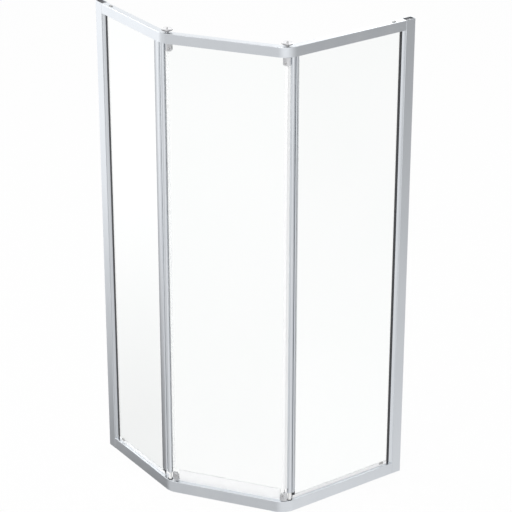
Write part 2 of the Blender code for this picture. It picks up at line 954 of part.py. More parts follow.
def block_matrix(door, hand, level):
    """Where a block's own frame lies: x to the door's middle, z away from its rail."""
    end, way = door.block_ends(hand)
    upper = level == "upper"
    height = upper_block_levels()[1] if upper else lower_block_levels()[0]
    rise = -1 if upper else 1
    return Matrix(((way, 0, 0, end), (0, 1, 0, 0), (0, 0, rise, height), (0, 0, 0, 1)))


def block_height(level):
    return upper_block_height if level == "upper" else lower_block_height


def make_block(door, hand, level):
    """A corner block: a slotted body with two rounded corners, and a seat for its pivot or magnet."""
    matrix = block_matrix(door, hand, level)
    height = block_height(level)
    front_run, front_rise = block_front_cut
    plan = [
        (0.0, front_rise - block_front), (front_run, -block_front), (block_width, -block_front),
        (block_width, block_back), (block_back_cut, block_back), (0.0, block_back - block_back_cut),
    ]
    mesh_data = bmesh.new()
    add_prism(mesh_data, plan, 0.0, height)
    rim = [edge for edge in mesh_data.edges if is_block_corner(edge, height)]
    bmesh.ops.bevel(mesh_data, geom=rim, offset=block_corner[level], segments=4, affect="EDGES")
    mesh_data.transform(matrix)
    name = "{}_{}_block".format(level, hand)
    block = make_object(name, mesh_data, satin_aluminium, parent=door.empty)
    cut(block, slot_tool(door, hand, level))
    for tool in block_bores(door, hand, level):
        cut(block, tool)
    return block


def is_block_corner(edge, height):
    """The two edges across the block, at its far end from the rail."""
    first, second = edge.verts
    level = abs(first.co.z - height) < fit_gap and abs(second.co.z - height) < fit_gap
    across = abs(first.co.x - second.co.x) < fit_gap
    inner_end = abs(first.co.x - block_width) < fit_gap
    return level and across and inner_end


def slot_tool(door, hand, level):
    """The cutting tool for the glass slot, which leaves a wall at the door's edge."""
    matrix = block_matrix(door, hand, level)
    start = abs(door.glass_ends()[0 if hand == "hinge" else 1] - door.block_ends(hand)[0])
    start -= fit_gap + liner_wall + fit_gap
    height = block_height(level)
    mesh_data = bmesh.new()
    outline = rectangle(start, block_width + cut_overrun, -half(block_slot), half(block_slot))
    add_prism(mesh_data, outline, height - block_grip, height + cut_overrun)
    mesh_data.transform(matrix)
    slot = make_object("{}_{}_slot".format(level, hand), mesh_data, satin_aluminium, parent=door.empty)
    return as_tool(slot)


def block_screw_place(door, hand, level):
    """Where the clamping screw goes through a block and the glass."""
    height = block_height(level) - block_grip + block_screw_from_slot_end
    local = Vector((block_width * block_screw_place_share, 0.0, height))
    return block_matrix(door, hand, level) @ local


def seat_place(door, hand):
    """The pivot axis or the magnet's centre, in the door's own frame."""
    if hand == "hinge":
        return 0.0, 0.0
    return door.x(door.catch[0]), door.y(door.catch[1])


def block_bores(door, hand, level):
    screw = block_screw_place(door, hand, level)
    matrix = door.empty_matrix @ outward(screw.x, 0.0, screw.z)
    name = "{}_{}".format(level, hand)
    reach = block_back - block_screw_floor
    bore = block_screw_radius + fit_gap
    bores = [cutter(name + "_screw_bore", matrix, bore, -reach, block_front + cut_overrun)]
    x, y = seat_place(door, hand)
    seat_radius = pivot_radius + fit_gap if hand == "hinge" else magnet_radius + fit_gap
    seat_depth = pivot_seat + fit_gap if hand == "hinge" else magnet_height + fit_gap
    if level == "upper":
        high = upper_block_levels()[1]
        span = (high - seat_depth, high + cut_overrun)
    else:
        low = lower_block_levels()[0]
        span = (low - cut_overrun, low + seat_depth)
    place = door.empty_matrix @ Matrix.Translation((x, y, 0.0))
    bores.append(cutter(name + "_seat_bore", place, seat_radius, *span, round_steps))
    return bores


def make_liner(door, hand, level):
    """The soft liner between a block and the glass."""
    matrix = block_matrix(door, hand, level)
    height = block_height(level)
    outer = half(block_slot) - fit_gap
    inner = outer - liner_wall
    low = height - block_grip + fit_gap
    outline = [
        (-outer, low), (outer, low), (outer, height), (inner, height), (inner, low + liner_wall),
        (-inner, low + liner_wall), (-inner, height), (-outer, height),
    ]
    start = abs(door.glass_ends()[0 if hand == "hinge" else 1] - door.block_ends(hand)[0]) - fit_gap
    mesh_data = bmesh.new()
    add_bar(mesh_data, outline, start, block_width)
    mesh_data.transform(matrix)
    liner = make_object("{}_{}_block_liner".format(level, hand), mesh_data, clear_plastic, parent=door.empty)
    cut(liner, glass_hole_tool(door, hand, level, "liner_hole", liner_hole_radius))
    return liner


def glass_hole_tool(door, hand, level, name, radius):
    """A tool for the hole that a block's screw passes through."""
    screw = block_screw_place(door, hand, level)
    matrix = door.empty_matrix @ outward(screw.x, 0.0, screw.z)
    reach = half(door_glass_thickness) + cut_overrun
    return cutter("{}_{}_{}".format(level, hand, name), matrix, radius, -reach, reach)


def make_block_screw(door, hand, level):
    """The clamping screw of a block, with its head on the outer face."""
    length = block_front + block_back - block_screw_floor - fit_gap
    shape = screw_profile(block_screw_radius, block_screw_head_radius, block_screw_head, length)
    screw = block_screw_place(door, hand, level)
    mesh_data = bmesh.new()
    add_turned(mesh_data, shape, small_round_steps, outward(screw.x, -block_front - fit_gap, screw.z))
    item = make_object("{}_{}_block_screw".format(level, hand), mesh_data, bright_steel, parent=door.empty)
    item.data.shade_smooth()
    item.data.set_sharp_from_angle(angle=math.radians(35))
    return item


def make_door_glass(door):
    """The door's pane, with its upper corners cut back to fit into the blocks."""
    start, end = door.glass_ends()
    low, notch_floor = glass_levels()
    high = enclosure_height - top_rail_face - glass_top_gap
    thick = half(door_glass_thickness)
    inner_start = door.block_ends("hinge")[0] + block_width + glass_notch_gap
    inner_end = door.block_ends("catch")[0] - block_width - glass_notch_gap
    outline = [
        (start, low), (end, low), (end, notch_floor), (inner_end, notch_floor), (inner_end, high),
        (inner_start, high), (inner_start, notch_floor), (start, notch_floor),
    ]
    mesh_data = bmesh.new()
    add_prism(mesh_data, outline, -thick, thick)
    mesh_data.transform(Matrix.Rotation(math.radians(90), 4, "X"))
    glass = make_object("door_glass", mesh_data, clear_glass, parent=door.empty)
    for hand in ("hinge", "catch"):
        for level in ("upper", "lower"):
            cut(glass, glass_hole_tool(door, hand, level, "glass_hole", glass_hole_radius))
    return glass


def make_pivot_pins(door):
    """The two steel pins on the door's axis."""
    high = upper_block_levels()[1]
    low = lower_block_levels()[0]
    bush_low = enclosure_height - top_rail_face + bush_drop
    upper = [
        (0, high - pivot_seat), (pivot_radius, high - pivot_seat),
        (pivot_radius, bush_low + bush_engagement - fit_gap), (0, bush_low + bush_engagement - fit_gap),
    ]
    lower_end = bottom_rail_face - lower_pivot_reach
    lower_top = low + pivot_seat
    lower = [(0, lower_end), (pivot_radius, lower_end), (pivot_radius, lower_top), (0, lower_top)]
    pins = [turned("upper_pivot_pin", upper, 0.0, 0.0, bright_steel, parent=door.empty)]
    pins.append(turned("lower_pivot_pin", lower, 0.0, 0.0, bright_steel, parent=door.empty))
    return pins


def make_catch_magnets(door):
    """The two magnets in the closing blocks."""
    x, y = seat_place(door, "catch")
    high = upper_block_levels()[1]
    low = lower_block_levels()[0]
    shapes = {"upper": (high - magnet_height, high), "lower": (low, low + magnet_height)}
    magnets = []
    for level, (base, top) in shapes.items():
        profile = [(0, base), (magnet_radius, base), (magnet_radius, top), (0, top)]
        magnets.append(turned(level + "_catch_magnet", profile, x, y, grey_plastic, parent=door.empty))
    return magnets


def bush_radius():
    """The bush fits between its axis and the rail's inner wall behind it, with a gap."""
    return half(rail_depth) - rail_wall - hinge_offset - bush_gap


def make_upper_bush(door):
    """The bush inside the top rail that the upper pin turns in."""
    low = enclosure_height - top_rail_face + bush_drop
    high = enclosure_height - rail_wall - fit_gap
    bore = pivot_radius + pivot_slack
    bore_top = low + bush_engagement
    pilot = cap_screw_radius + fit_gap
    pilot_low = bore_top + bush_web
    profile = [
        (0, bore_top), (bore, bore_top), (bore, low), (bush_radius(), low), (bush_radius(), high),
        (pilot, high), (pilot, pilot_low), (0, pilot_low),
    ]
    return turned("upper_pivot_bush", profile, *door.axis, white_plastic, door.run)


def make_lower_bush(door):
    """The flanged bush in the bottom rail that carries the door."""
    flange_low = bottom_rail_face + fit_gap
    flange_high = flange_low + lower_bush_flange
    low = bottom_rail_face - lower_bush_drop
    bore = pivot_radius + pivot_slack
    profile = [
        (0, low), (lower_bush_radius, low), (lower_bush_radius, flange_low),
        (lower_bush_flange_radius, flange_low), (lower_bush_flange_radius, flange_high),
        (bore, flange_high), (bore, low + lower_bush_floor), (0, low + lower_bush_floor),
    ]
    return turned("lower_pivot_bush", profile, *door.axis, white_plastic, door.run)


def make_upper_keeper(door):
    """The steel plug inside the top rail that the upper magnet pulls on, held by the right cap's screw."""
    low = enclosure_height - top_rail_face + bush_drop
    high = enclosure_height - rail_wall - fit_gap
    pilot = cap_screw_radius + fit_gap
    pilot_low = enclosure_height - rail_wall - cap_screw_reach
    profile = [
        (0, low), (keeper_radius, low), (keeper_radius, high), (pilot, high), (pilot, pilot_low), (0, pilot_low)]
    return turned("upper_catch_keeper", profile, *door.catch, bright_steel, door.run)


def make_lower_keeper(door):
    """The steel disc on the bottom rail that the lower magnet pulls on."""
    base = bottom_rail_face + fit_gap
    top = base + keeper_thickness
    profile = [(0, base), (keeper_radius, base), (keeper_radius, top), (0, top)]
    return turned("lower_catch_keeper", profile, *door.catch, bright_steel, door.run)


def make_cap(name, place, run):
    """A round cap that stands on a short hub on the top rail."""
    low = enclosure_height + fit_gap
    disc_low = low + cap_hub
    disc_high = disc_low + cap_disc
    bore = cap_screw_radius + fit_gap
    profile = [
        (bore, low), (cap_hub_radius, low), (cap_hub_radius, disc_low), (cap_radius - cap_edge, disc_low),
        (cap_radius, disc_low + cap_edge), (cap_radius, disc_high - cap_edge),
        (cap_radius - cap_edge, disc_high), (bore, disc_high), (bore, low),
    ]
    mesh_data = bmesh.new()
    add_turned(mesh_data, profile, round_steps, Matrix.Translation((*place, 0.0)))
    bmesh.ops.remove_doubles(mesh_data, verts=mesh_data.verts, dist=fit_gap / 10)
    cap = make_object(name, mesh_data, satin_aluminium, run)
    cap.data.shade_smooth()
    cap.data.set_sharp_from_angle(angle=math.radians(35))
    return cap


def make_cap_screw(name, place, run):
    """The small screw that holds a cap and what is below it."""
    seat = enclosure_height + fit_gap + cap_hub + cap_disc + fit_gap
    length = seat - (enclosure_height - rail_wall - cap_screw_reach) - fit_gap
    shape = screw_profile(cap_screw_radius, cap_screw_head_radius, cap_screw_head, length)
    shape = [(radius, seat + height) for radius, height in shape]
    return turned(name, shape, *place, bright_steel, run, steps=small_round_steps)


def cut_cap_hole(name, place, run, rail):
    matrix = run.matrix() @ Matrix.Translation((*place, enclosure_height))
    radius = cap_screw_radius + fit_gap
    cut(rail, cutter(name, matrix, radius, -rail_wall - cut_overrun, cut_overrun))


def cut_lower_bush_hole(door, rail):
    matrix = door.run.matrix() @ Matrix.Translation((*door.axis, bottom_rail_face))
    radius = lower_bush_radius + fit_gap
    cut(rail, cutter("lower_bush_hole", matrix, radius, -rail_wall - cut_overrun, cut_overrun, round_steps))


def make_bottom_seal(door):
    """The clear strip under the door's glass, with a fin that wipes the bottom rail."""
    inner = half(door_glass_thickness) + fit_gap
    outer = inner + seal_wall
    base_high = glass_levels()[0] - fit_gap
    base_low = base_high - seal_base
    high = bottom_rail_face + bottom_seal_top
    fin_low = bottom_rail_face + bottom_seal_floor_gap
    fin = half(bottom_seal_fin)
    outline = [
        (-fin, fin_low), (fin, fin_low), (fin, base_low), (outer, base_low), (outer, high), (inner, high),
        (inner, base_high), (-inner, base_high), (-inner, high), (-outer, high), (-outer, base_low),
        (-fin, base_low),
    ]
    start = door.block_ends("hinge")[0] + block_width + seal_end_gap
    end = door.block_ends("catch")[0] - block_width - seal_end_gap
    mesh_data = bmesh.new()
    add_bar(mesh_data, outline, start, end)
    return make_object("door_bottom_seal", mesh_data, clear_plastic, parent=door.empty)


def upright_seal_levels():
    """The upright seals run between the corner blocks."""
    return lower_block_levels()[1] + seal_end_gap, upper_block_levels()[0] - seal_end_gap


def make_hinge_seal(door):
    """The clear seal on the hinge edge, with a fin towards the left column."""
    edge = door.glass_ends()[0]
    inner = half(door_glass_thickness) + fit_gap
    outer = inner + seal_wall
    base_in = edge - fit_gap
    base_out = base_in - seal_base
    fin = half(seal_wall)
    fin_y = half(column_radius()) - fin - fin
    tip = -math.sqrt(hinge_fin_radius ** 2 - fin_y ** 2)
    outline = [
        (base_out, -outer), (edge + seal_lap, -outer), (edge + seal_lap, -inner), (base_in, -inner),
        (base_in, inner), (edge + seal_lap, inner), (edge + seal_lap, outer), (base_out, outer),
        (base_out, fin), (tip, fin_y + fin), (tip, fin_y - fin), (base_out, -fin),
    ]
    low, high = upright_seal_levels()
    low = max(low, bottom_rail_face + bottom_seal_top + seal_end_gap)
    return prism("door_hinge_seal", outline, low, high, clear_plastic, parent=door.empty)


def make_closing_seal(door, right):
    """The clear seal on the closing edge, whose fin leans towards the right column."""
    column = right.world(*column_centre(right))
    local = door.run.local(column)
    column_point = Vector((door.x(local.x), door.y(local.y)))
    edge = door.glass_ends()[1]
    inner = half(door_glass_thickness) + fit_gap
    outer = inner + seal_wall
    base_in = edge + fit_gap
    base_out = base_in + seal_base
    root = Vector((base_out, 0.0))
    way = (column_point - root).normalized()
    across = Vector((way.y, -way.x)) * half(seal_wall)
    tip = column_point - way * (column_radius() + closing_fin_gap)
    tips = [tip + across, tip - across]
    outline = [
        (edge - seal_lap, -outer), (base_out, -outer), (base_out, -seal_wall), (tips[0].x, tips[0].y),
        (tips[1].x, tips[1].y), (base_out, seal_wall), (base_out, outer), (edge - seal_lap, outer),
        (edge - seal_lap, inner), (base_in, inner), (base_in, -inner), (edge - seal_lap, -inner),
    ]
    low, high = upright_seal_levels()
    low = max(low, bottom_rail_face + bottom_seal_top + seal_end_gap)
    return prism("door_closing_seal", outline, low, high, clear_plastic, parent=door.empty)


def clear_scene():
    for item in list(bpy.data.objects):
        bpy.data.objects.remove(item)


def build():
    clear_scene()
    left, middle, right = runs()
    stations = rail_stations(left, middle, right)
    top_rail = make_top_rail(stations)
    bottom_rail = make_bottom_rail(stations)
    for side in (left, right):
        make_wall_channel(side)
        make_wall_profile(side)
        make_wall_gasket(side)
        make_side_glass(side)
        make_bottom_bead(side)
        make_top_bead(side)
        make_corner_post(side)
        make_post_gasket(side)
        make_column(side)
        make_column_foot(side)
        make_foot_cup(side)
        make_lower_clip(side)
        make_upper_clip(side)
        make_joint_blocks(side)
        cut_cup_hole(side, bottom_rail)
        cut_clip_hole(side, top_rail)
    door = Door(middle)
    door.empty_matrix = middle.matrix() @ Matrix.Translation((*door.axis, 0.0))
    make_door_glass(door)
    for hand in ("hinge", "catch"):
        for level in ("upper", "lower"):
            make_block(door, hand, level)
            make_liner(door, hand, level)
            make_block_screw(door, hand, level)
    make_pivot_pins(door)
    make_catch_magnets(door)
    make_upper_bush(door)
    make_lower_bush(door)
    make_upper_keeper(door)
    make_lower_keeper(door)
    make_cap("left_top_cap", door.axis, middle)
    make_cap("right_top_cap", door.catch, middle)
    make_cap_screw("left_cap_screw", door.axis, middle)
    make_cap_screw("right_cap_screw", door.catch, middle)
    cut_cap_hole("left_cap_hole", door.axis, middle, top_rail)
    cut_cap_hole("right_cap_hole", door.catch, middle, top_rail)
    cut_lower_bush_hole(door, bottom_rail)
    make_bottom_seal(door)
    make_hinge_seal(door)
    make_closing_seal(door, right)


build()
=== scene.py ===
"""Looks of a corner shower enclosure: bent aluminium rails, clear glass, round caps and small fittings.

Lengths are in metres. The left wall is at the lowest x, the right wall at the highest y, and the tray
is at z = 0.
"""
import math

import bmesh
import bpy
from mathutils import Matrix, Vector


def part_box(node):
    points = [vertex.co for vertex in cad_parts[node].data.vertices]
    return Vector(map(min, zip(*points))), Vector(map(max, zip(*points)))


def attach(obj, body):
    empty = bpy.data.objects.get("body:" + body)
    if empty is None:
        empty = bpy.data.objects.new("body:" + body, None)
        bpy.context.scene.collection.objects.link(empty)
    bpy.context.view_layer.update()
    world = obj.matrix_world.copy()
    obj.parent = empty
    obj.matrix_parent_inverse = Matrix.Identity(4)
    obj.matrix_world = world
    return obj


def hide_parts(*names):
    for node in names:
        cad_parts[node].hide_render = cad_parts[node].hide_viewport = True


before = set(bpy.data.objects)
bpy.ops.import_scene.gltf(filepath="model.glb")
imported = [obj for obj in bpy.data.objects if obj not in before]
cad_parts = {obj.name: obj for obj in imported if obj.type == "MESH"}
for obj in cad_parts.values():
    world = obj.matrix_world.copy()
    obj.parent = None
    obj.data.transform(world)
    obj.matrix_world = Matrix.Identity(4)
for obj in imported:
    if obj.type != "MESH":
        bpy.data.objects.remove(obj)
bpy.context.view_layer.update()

# Whole enclosure, as in the part
enclosure_height = 2.000
footprint = 0.888
left_side = 0.475
right_side = 0.598
bend_radius = 0.080
fit_gap = 0.0003

# Rails
rail_depth = 0.028
rail_wall = 0.002
top_rail_face = 0.040
bottom_rail_face = 0.050
channel_width = 0.043
outer_edge = 0.0015
bend_steps = 28
edge_steps = 4
cutter_reach = 0.004

# Rounding of edges, from the finest to the fullest
fine_edge = 0.0002
small_edge = 0.0003
soft_edge = 0.0004
profile_edge = 0.0005
collar_edge = 0.0006
block_edge = 0.0007
rim_edge = 0.0008
channel_edge = 0.0009
foot_edge = 0.001
dome_edge = 0.003
rounding_angle = math.radians(38)
crease_angle = math.radians(32)
extrusion_crease_angle = math.radians(50)

# Round caps
cap_radius = 0.0215
cap_hub_radius = 0.008
cap_hub = 0.0090
cap_crown = 0.0008
cap_chamfer = 0.001
cap_bore = 0.0023
cap_groove = 0.0007
cap_groove_half_width = 0.0008
cap_groove_share = 0.80
# Height over which the caps' painted dark reflection on the edge fades into the bright face
cap_painted_rim_fade = 0.0003

# Columns, feet and cups
column_wall = 0.0015
foot_radius = 0.0078
foot_waist_radius = 0.0066
foot_lower_collar = 0.0075
foot_upper_collar = 0.0042
foot_slope = 0.0012
cup_wall = 0.0012
cup_flange = 0.0015
cup_hole_radius = 0.0096
bush_hole_radius = 0.0063

# Screws
block_screw_radius = 0.0025
block_screw_head_radius = 0.0046
block_screw_head = 0.0014
block_screw_shank = 0.0162
block_screw_seat = 0.0072
cap_screw_radius = 0.002
cap_screw_head_radius = 0.004
cap_screw_head = 0.0045
screw_head_foot = 0.0002
screw_recess_share = 0.46
screw_recess_depth_share = 0.6
screw_seed = 7

# Steps round a turned piece
round_steps = 72
cap_steps = 96
tool_steps = 48
screw_steps = 36

# Camera, fitted to the photograph: angles in degrees, the lens in millimetres
camera_place = (6.3394, -4.4331, 4.5684)
camera_heading = 55.64
camera_height_angle = 25.04
camera_roll = -0.23
camera_lens = 147.24
photo_size = 512.0
photo_middle = (233.3, 254.4)

# Studio. A tone of 1 is white.
floor_reach = 40.0
floor_drop = 0.0004
floor_tone = 0.86
floor_glow = 0.94
even_light = 0.80
ground_tone = (0.72, 0.72, 0.73)
low_ceiling_tone = (1.08, 1.08, 1.085)
high_ceiling_tone = (0.74, 0.74, 0.75)
# Heights on the unit sphere where one tone fades into the next
ground_fade = (-0.56, -0.74)
horizon_fade = (-0.15, 0.15)
ceiling_fade = (0.37, 0.49)
# Walls that only gloss shows: degrees below the horizon, then tones by heading in the plan, in degrees
wall_bands = [
    (29.4, [
        (-180, 0.06), (-146, 0.02), (-112, 0.48), (-75, 0.46), (-34, 0.82), (34, 0.99), (72, 0.28),
        (180, 0.06)]),
    (22.8, [
        (-180, 0.30), (-146, 1.48), (-112, 1.0), (-75, 0.90), (-34, 0.65), (34, 0.50), (72, 0.26),
        (180, 0.30)]),
    (19.0, [
        (-180, 0.45), (-146, 1.20), (-112, 0.74), (-75, 0.60), (-34, 1.15), (34, 0.31), (100, 0.28),
        (180, 0.45)]),
]


# Shader helpers

def share_between(tree, value, start, end):
    """A share that is 0 where a value is at its start, and 1 at its end."""
    spread = tree.nodes.new("ShaderNodeMapRange")
    spread.inputs["From Min"].default_value = start
    spread.inputs["From Max"].default_value = end
    tree.links.new(value, spread.inputs["Value"])
    return spread.outputs["Result"]


def mix_colours(tree, share, first, second):
    """Mixes two colours. Each is a socket or a plain tone."""
    mix = tree.nodes.new("ShaderNodeMix")
    mix.data_type = "RGBA"
    tree.links.new(share, mix.inputs[0])
    for socket, colour in ((mix.inputs[6], first), (mix.inputs[7], second)):
        if isinstance(colour, tuple):
            socket.default_value = (*colour, 1.0)
        else:
            tree.links.new(colour, socket)
    return mix.outputs[2]


def mix_shaders(tree, share, first, second):
    mix = tree.nodes.new("ShaderNodeMixShader")
    tree.links.new(share, mix.inputs["Fac"])
    tree.links.new(first, mix.inputs[1])
    tree.links.new(second, mix.inputs[2])
    return mix.outputs["Shader"]


def seen_directly(tree):
    """1 for what the camera sees, also through glass."""
    ray = tree.nodes.new("ShaderNodeLightPath")
    seen = tree.nodes.new("ShaderNodeMath")
    seen.operation = "MAXIMUM"
    tree.links.new(ray.outputs["Is Camera Ray"], seen.inputs[0])
    tree.links.new(ray.outputs["Is Transmission Ray"], seen.inputs[1])
    return seen.outputs["Value"]



# Finishes

def new_finish(name, colour, roughness, metallic=0.0, **constants):
    """A Principled finish. A constant value is set on the shader's own socket."""
    finish = bpy.data.materials.new(name)
    finish.use_nodes = True
    finish.diffuse_color = (*colour, 1.0)
    shader = finish.node_tree.nodes["Principled BSDF"]
    shader.inputs["Base Color"].default_value = (*colour, 1.0)
    shader.inputs["Roughness"].default_value = roughness
    shader.inputs["Metallic"].default_value = metallic
    for socket, value in constants.items():
        shader.inputs[socket.replace("_", " ")].default_value = value
    return finish


def add_pattern(finish, stretch, detail=2.0):
    """A noise on Object coordinates, stretched along the way the piece was drawn or moulded."""
    nodes, links = finish.node_tree.nodes, finish.node_tree.links
    place = nodes.new("ShaderNodeTexCoord")
    mapping = nodes.new("ShaderNodeMapping")
    mapping.inputs["Scale"].default_value = stretch
    noise = nodes.new("ShaderNodeTexNoise")
    noise.inputs["Scale"].default_value = 1.0
    noise.inputs["Detail"].default_value = detail
    links.new(place.outputs["Object"], mapping.inputs["Vector"])
    links.new(mapping.outputs["Vector"], noise.inputs["Vector"])
    return noise.outputs["Fac"]


def vary_roughness(finish, pattern, low, high):
    nodes, links = finish.node_tree.nodes, finish.node_tree.links
    spread = nodes.new("ShaderNodeMapRange")
    spread.inputs["To Min"].default_value = low
    spread.inputs["To Max"].default_value = high
    links.new(pattern, spread.inputs["Value"])
    links.new(spread.outputs["Result"], nodes["Principled BSDF"].inputs["Roughness"])


def colour_between(finish, pattern, dark, light):
    nodes, links = finish.node_tree.nodes, finish.node_tree.links
    ramp = nodes.new("ShaderNodeValToRGB")
    ramp.color_ramp.elements[0].position = 0.3
    ramp.color_ramp.elements[1].position = 0.7
    ramp.color_ramp.elements[0].color = (*dark, 1.0)
    ramp.color_ramp.elements[1].color = (*light, 1.0)
    links.new(pattern, ramp.inputs["Fac"])
    return ramp.outputs["Color"]


def vary_colour(finish, pattern, dark, light):
    colour = colour_between(finish, pattern, dark, light)
    finish.node_tree.links.new(colour, finish.node_tree.nodes["Principled BSDF"].inputs["Base Color"])


def add_relief(finish, pattern, strength, depth):
    nodes, links = finish.node_tree.nodes, finish.node_tree.links
    bump = nodes.new("ShaderNodeBump")
    bump.inputs["Strength"].default_value = strength
    bump.inputs["Distance"].default_value = depth
    links.new(pattern, bump.inputs["Height"])
    links.new(bump.outputs["Normal"], nodes["Principled BSDF"].inputs["Normal"])


def drawn_aluminium(name, stretch):
    """Satin anodised aluminium with the faint die lines of an extrusion along its length."""
    finish = new_finish(name, (0.815, 0.848, 0.88), 0.30, 1.0)
    cloud = add_pattern(finish, (7.0, 7.0, 3.0))
    vary_colour(finish, cloud, (0.79, 0.825, 0.86), (0.835, 0.866, 0.895))
    lines = add_pattern(finish, stretch, 3.0)
    vary_roughness(finish, lines, 0.26, 0.34)
    add_relief(finish, lines, 0.12, 0.00004)
    return finish


def cast_block_metal(name):
    """Die-cast corner blocks with a fine satin plating, a little darker than the rails."""
    finish = new_finish(name, (0.73, 0.735, 0.745), 0.26, 1.0)
    cloud = add_pattern(finish, (90.0, 90.0, 90.0))
    vary_colour(finish, cloud, (0.68, 0.686, 0.70), (0.76, 0.765, 0.775))
    grain = add_pattern(finish, (1900.0, 1900.0, 1900.0), 3.0)
    vary_roughness(finish, grain, 0.22, 0.32)
    add_relief(finish, grain, 0.1, 0.00003)
    return finish


def turned_aluminium(name, face):
    """Turned caps: the face, from the given height up, is polished bright, and the edge and the hub below
    it are painted dark, a painted dark reflection.
    """
    finish = new_finish(name, (0.86, 0.86, 0.87), 0.09, 1.0)
    tree = finish.node_tree
    cloud = add_pattern(finish, (160.0, 160.0, 160.0))
    bright = colour_between(finish, cloud, (0.84, 0.842, 0.852), (0.90, 0.902, 0.91))
    # Painted dark reflection: this dark tone is painted on the cap's edge and hub, below the face
    painted_dark_rim = colour_between(finish, cloud, (0.33, 0.33, 0.335), (0.40, 0.40, 0.405))
    place = tree.nodes.new("ShaderNodeTexCoord")
    parts = tree.nodes.new("ShaderNodeSeparateXYZ")
    tree.links.new(place.outputs["Object"], parts.inputs["Vector"])
    # Mask of the painted dark reflection: 0 on the edge and hub below the face, 1 on the face
    share = share_between(tree, parts.outputs["Z"], face - cap_painted_rim_fade, face)
    colour = mix_colours(tree, share, painted_dark_rim, bright)
    tree.links.new(colour, tree.nodes["Principled BSDF"].inputs["Base Color"])
    vary_roughness(finish, cloud, 0.07, 0.13)
    return finish


def bright_screw_steel(name):
    finish = new_finish(name, (0.60, 0.597, 0.592), 0.16, 1.0)
    cloud = add_pattern(finish, (700.0, 700.0, 700.0))
    vary_colour(finish, cloud, (0.53, 0.53, 0.535), (0.66, 0.655, 0.65))
    vary_roughness(finish, cloud, 0.12, 0.24)
    return finish


def clear_safety_glass(name):
    """Toughened glass: clear, with the slight waviness that the furnace rollers leave."""
    finish = new_finish(name, (0.985, 0.995, 0.99), 0.0, Transmission_Weight=1.0, IOR=1.45)
    cloud = add_pattern(finish, (2.0, 2.0, 2.0))
    vary_colour(finish, cloud, (0.978, 0.992, 0.986), (0.99, 0.998, 0.995))
    waves = add_pattern(finish, (1.5, 1.5, 6.0), 0.0)
    add_relief(finish, waves, 0.05, 0.0006)
    return finish


def dark_rubber(name):
    finish = new_finish(name, (0.045, 0.046, 0.05), 0.55)
    grain = add_pattern(finish, (900.0, 900.0, 900.0), 4.0)
    vary_colour(finish, grain, (0.032, 0.033, 0.036), (0.066, 0.067, 0.072))
    vary_roughness(finish, grain, 0.48, 0.66)
    add_relief(finish, grain, 0.25, 0.00008)
    return finish


def clear_soft_vinyl(name):
    """Seals and liners of clear vinyl, a little milky."""
    finish = new_finish(name, (0.92, 0.93, 0.94), 0.22, Alpha=0.16, IOR=1.4)
    cloud = add_pattern(finish, (60.0, 60.0, 9.0))
    vary_colour(finish, cloud, (0.88, 0.90, 0.91), (0.95, 0.96, 0.965))
    vary_roughness(finish, cloud, 0.16, 0.30)
    return finish


def milky_soft_vinyl(name):
    """Beads and seals of a vinyl that is nearly white."""
    finish = new_finish(name, (0.95, 0.955, 0.96), 0.3)
    cloud = add_pattern(finish, (12.0, 12.0, 12.0))
    vary_colour(finish, cloud, (0.94, 0.945, 0.95), (0.96, 0.965, 0.97))
    vary_roughness(finish, cloud, 0.24, 0.38)
    return finish


def white_moulded_nylon(name):
    finish = new_finish(name, (0.90, 0.90, 0.89), 0.34)
    cloud = add_pattern(finish, (220.0, 220.0, 220.0))
    vary_colour(finish, cloud, (0.87, 0.872, 0.865), (0.93, 0.93, 0.922))
    grain = add_pattern(finish, (2400.0, 2400.0, 2400.0), 3.0)
    vary_roughness(finish, grain, 0.28, 0.42)
    add_relief(finish, grain, 0.12, 0.00003)
    return finish


def grey_moulded_plastic(name):
    finish = new_finish(name, (0.075, 0.077, 0.082), 0.5)
    grain = add_pattern(finish, (2600.0, 2600.0, 2600.0), 4.0)
    vary_colour(finish, grain, (0.06, 0.062, 0.066), (0.095, 0.097, 0.103))
    vary_roughness(finish, grain, 0.38, 0.55)
    add_relief(finish, grain, 0.22, 0.00005)
    return finish


def pale_moulded_plastic(name):
    finish = new_finish(name, (0.42, 0.42, 0.41), 0.42)
    grain = add_pattern(finish, (2600.0, 2600.0, 2600.0), 4.0)
    vary_colour(finish, grain, (0.36, 0.36, 0.352), (0.47, 0.47, 0.46))
    vary_roughness(finish, grain, 0.36, 0.5)
    add_relief(finish, grain, 0.2, 0.00005)
    return finish


def dull_magnet_grey(name):
    finish = new_finish(name, (0.20, 0.20, 0.205), 0.4, 0.6)
    grain = add_pattern(finish, (1800.0, 1800.0, 1800.0), 3.0)
    vary_colour(finish, grain, (0.15, 0.15, 0.155), (0.26, 0.26, 0.265))
    vary_roughness(finish, grain, 0.32, 0.5)
    return finish


def make_finishes():
    across_uprights = (900.0, 900.0, 1.5)
    across_rails = (3.0, 3.0, 900.0)
    cap_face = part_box("left_top_cap")[1].z - cap_crown
    return {
        "upright aluminium": drawn_aluminium("satin_aluminium_upright", across_uprights),
        "rail aluminium": drawn_aluminium("satin_aluminium_rail", across_rails),
        "block metal": cast_block_metal("satin_aluminium_block"),
        "cap aluminium": turned_aluminium("polished_aluminium", cap_face),
        "steel": bright_screw_steel("bright_steel"),
        "glass": clear_safety_glass("clear_glass"),
        "rubber": dark_rubber("black_rubber"),
        "vinyl": clear_soft_vinyl("clear_vinyl"),
        "milky vinyl": milky_soft_vinyl("clear_vinyl_seals"),
        "nylon": white_moulded_nylon("white_nylon"),
        "grey plastic": grey_moulded_plastic("grey_plastic"),
        "pale plastic": pale_moulded_plastic("grey_plastic_clips"),
        "magnet": dull_magnet_grey("magnet_grey"),
    }


# Finished pieces

def link(item):
    bpy.context.scene.collection.objects.link(item)
    return item


def drop(*items):
    for item in items:
        bpy.data.objects.remove(item)


def add_even_shading(item):
    """Keeps large faces flat beside their rounded edges."""
    item.modifiers.new("even shading", "WEIGHTED_NORMAL").keep_sharp = True


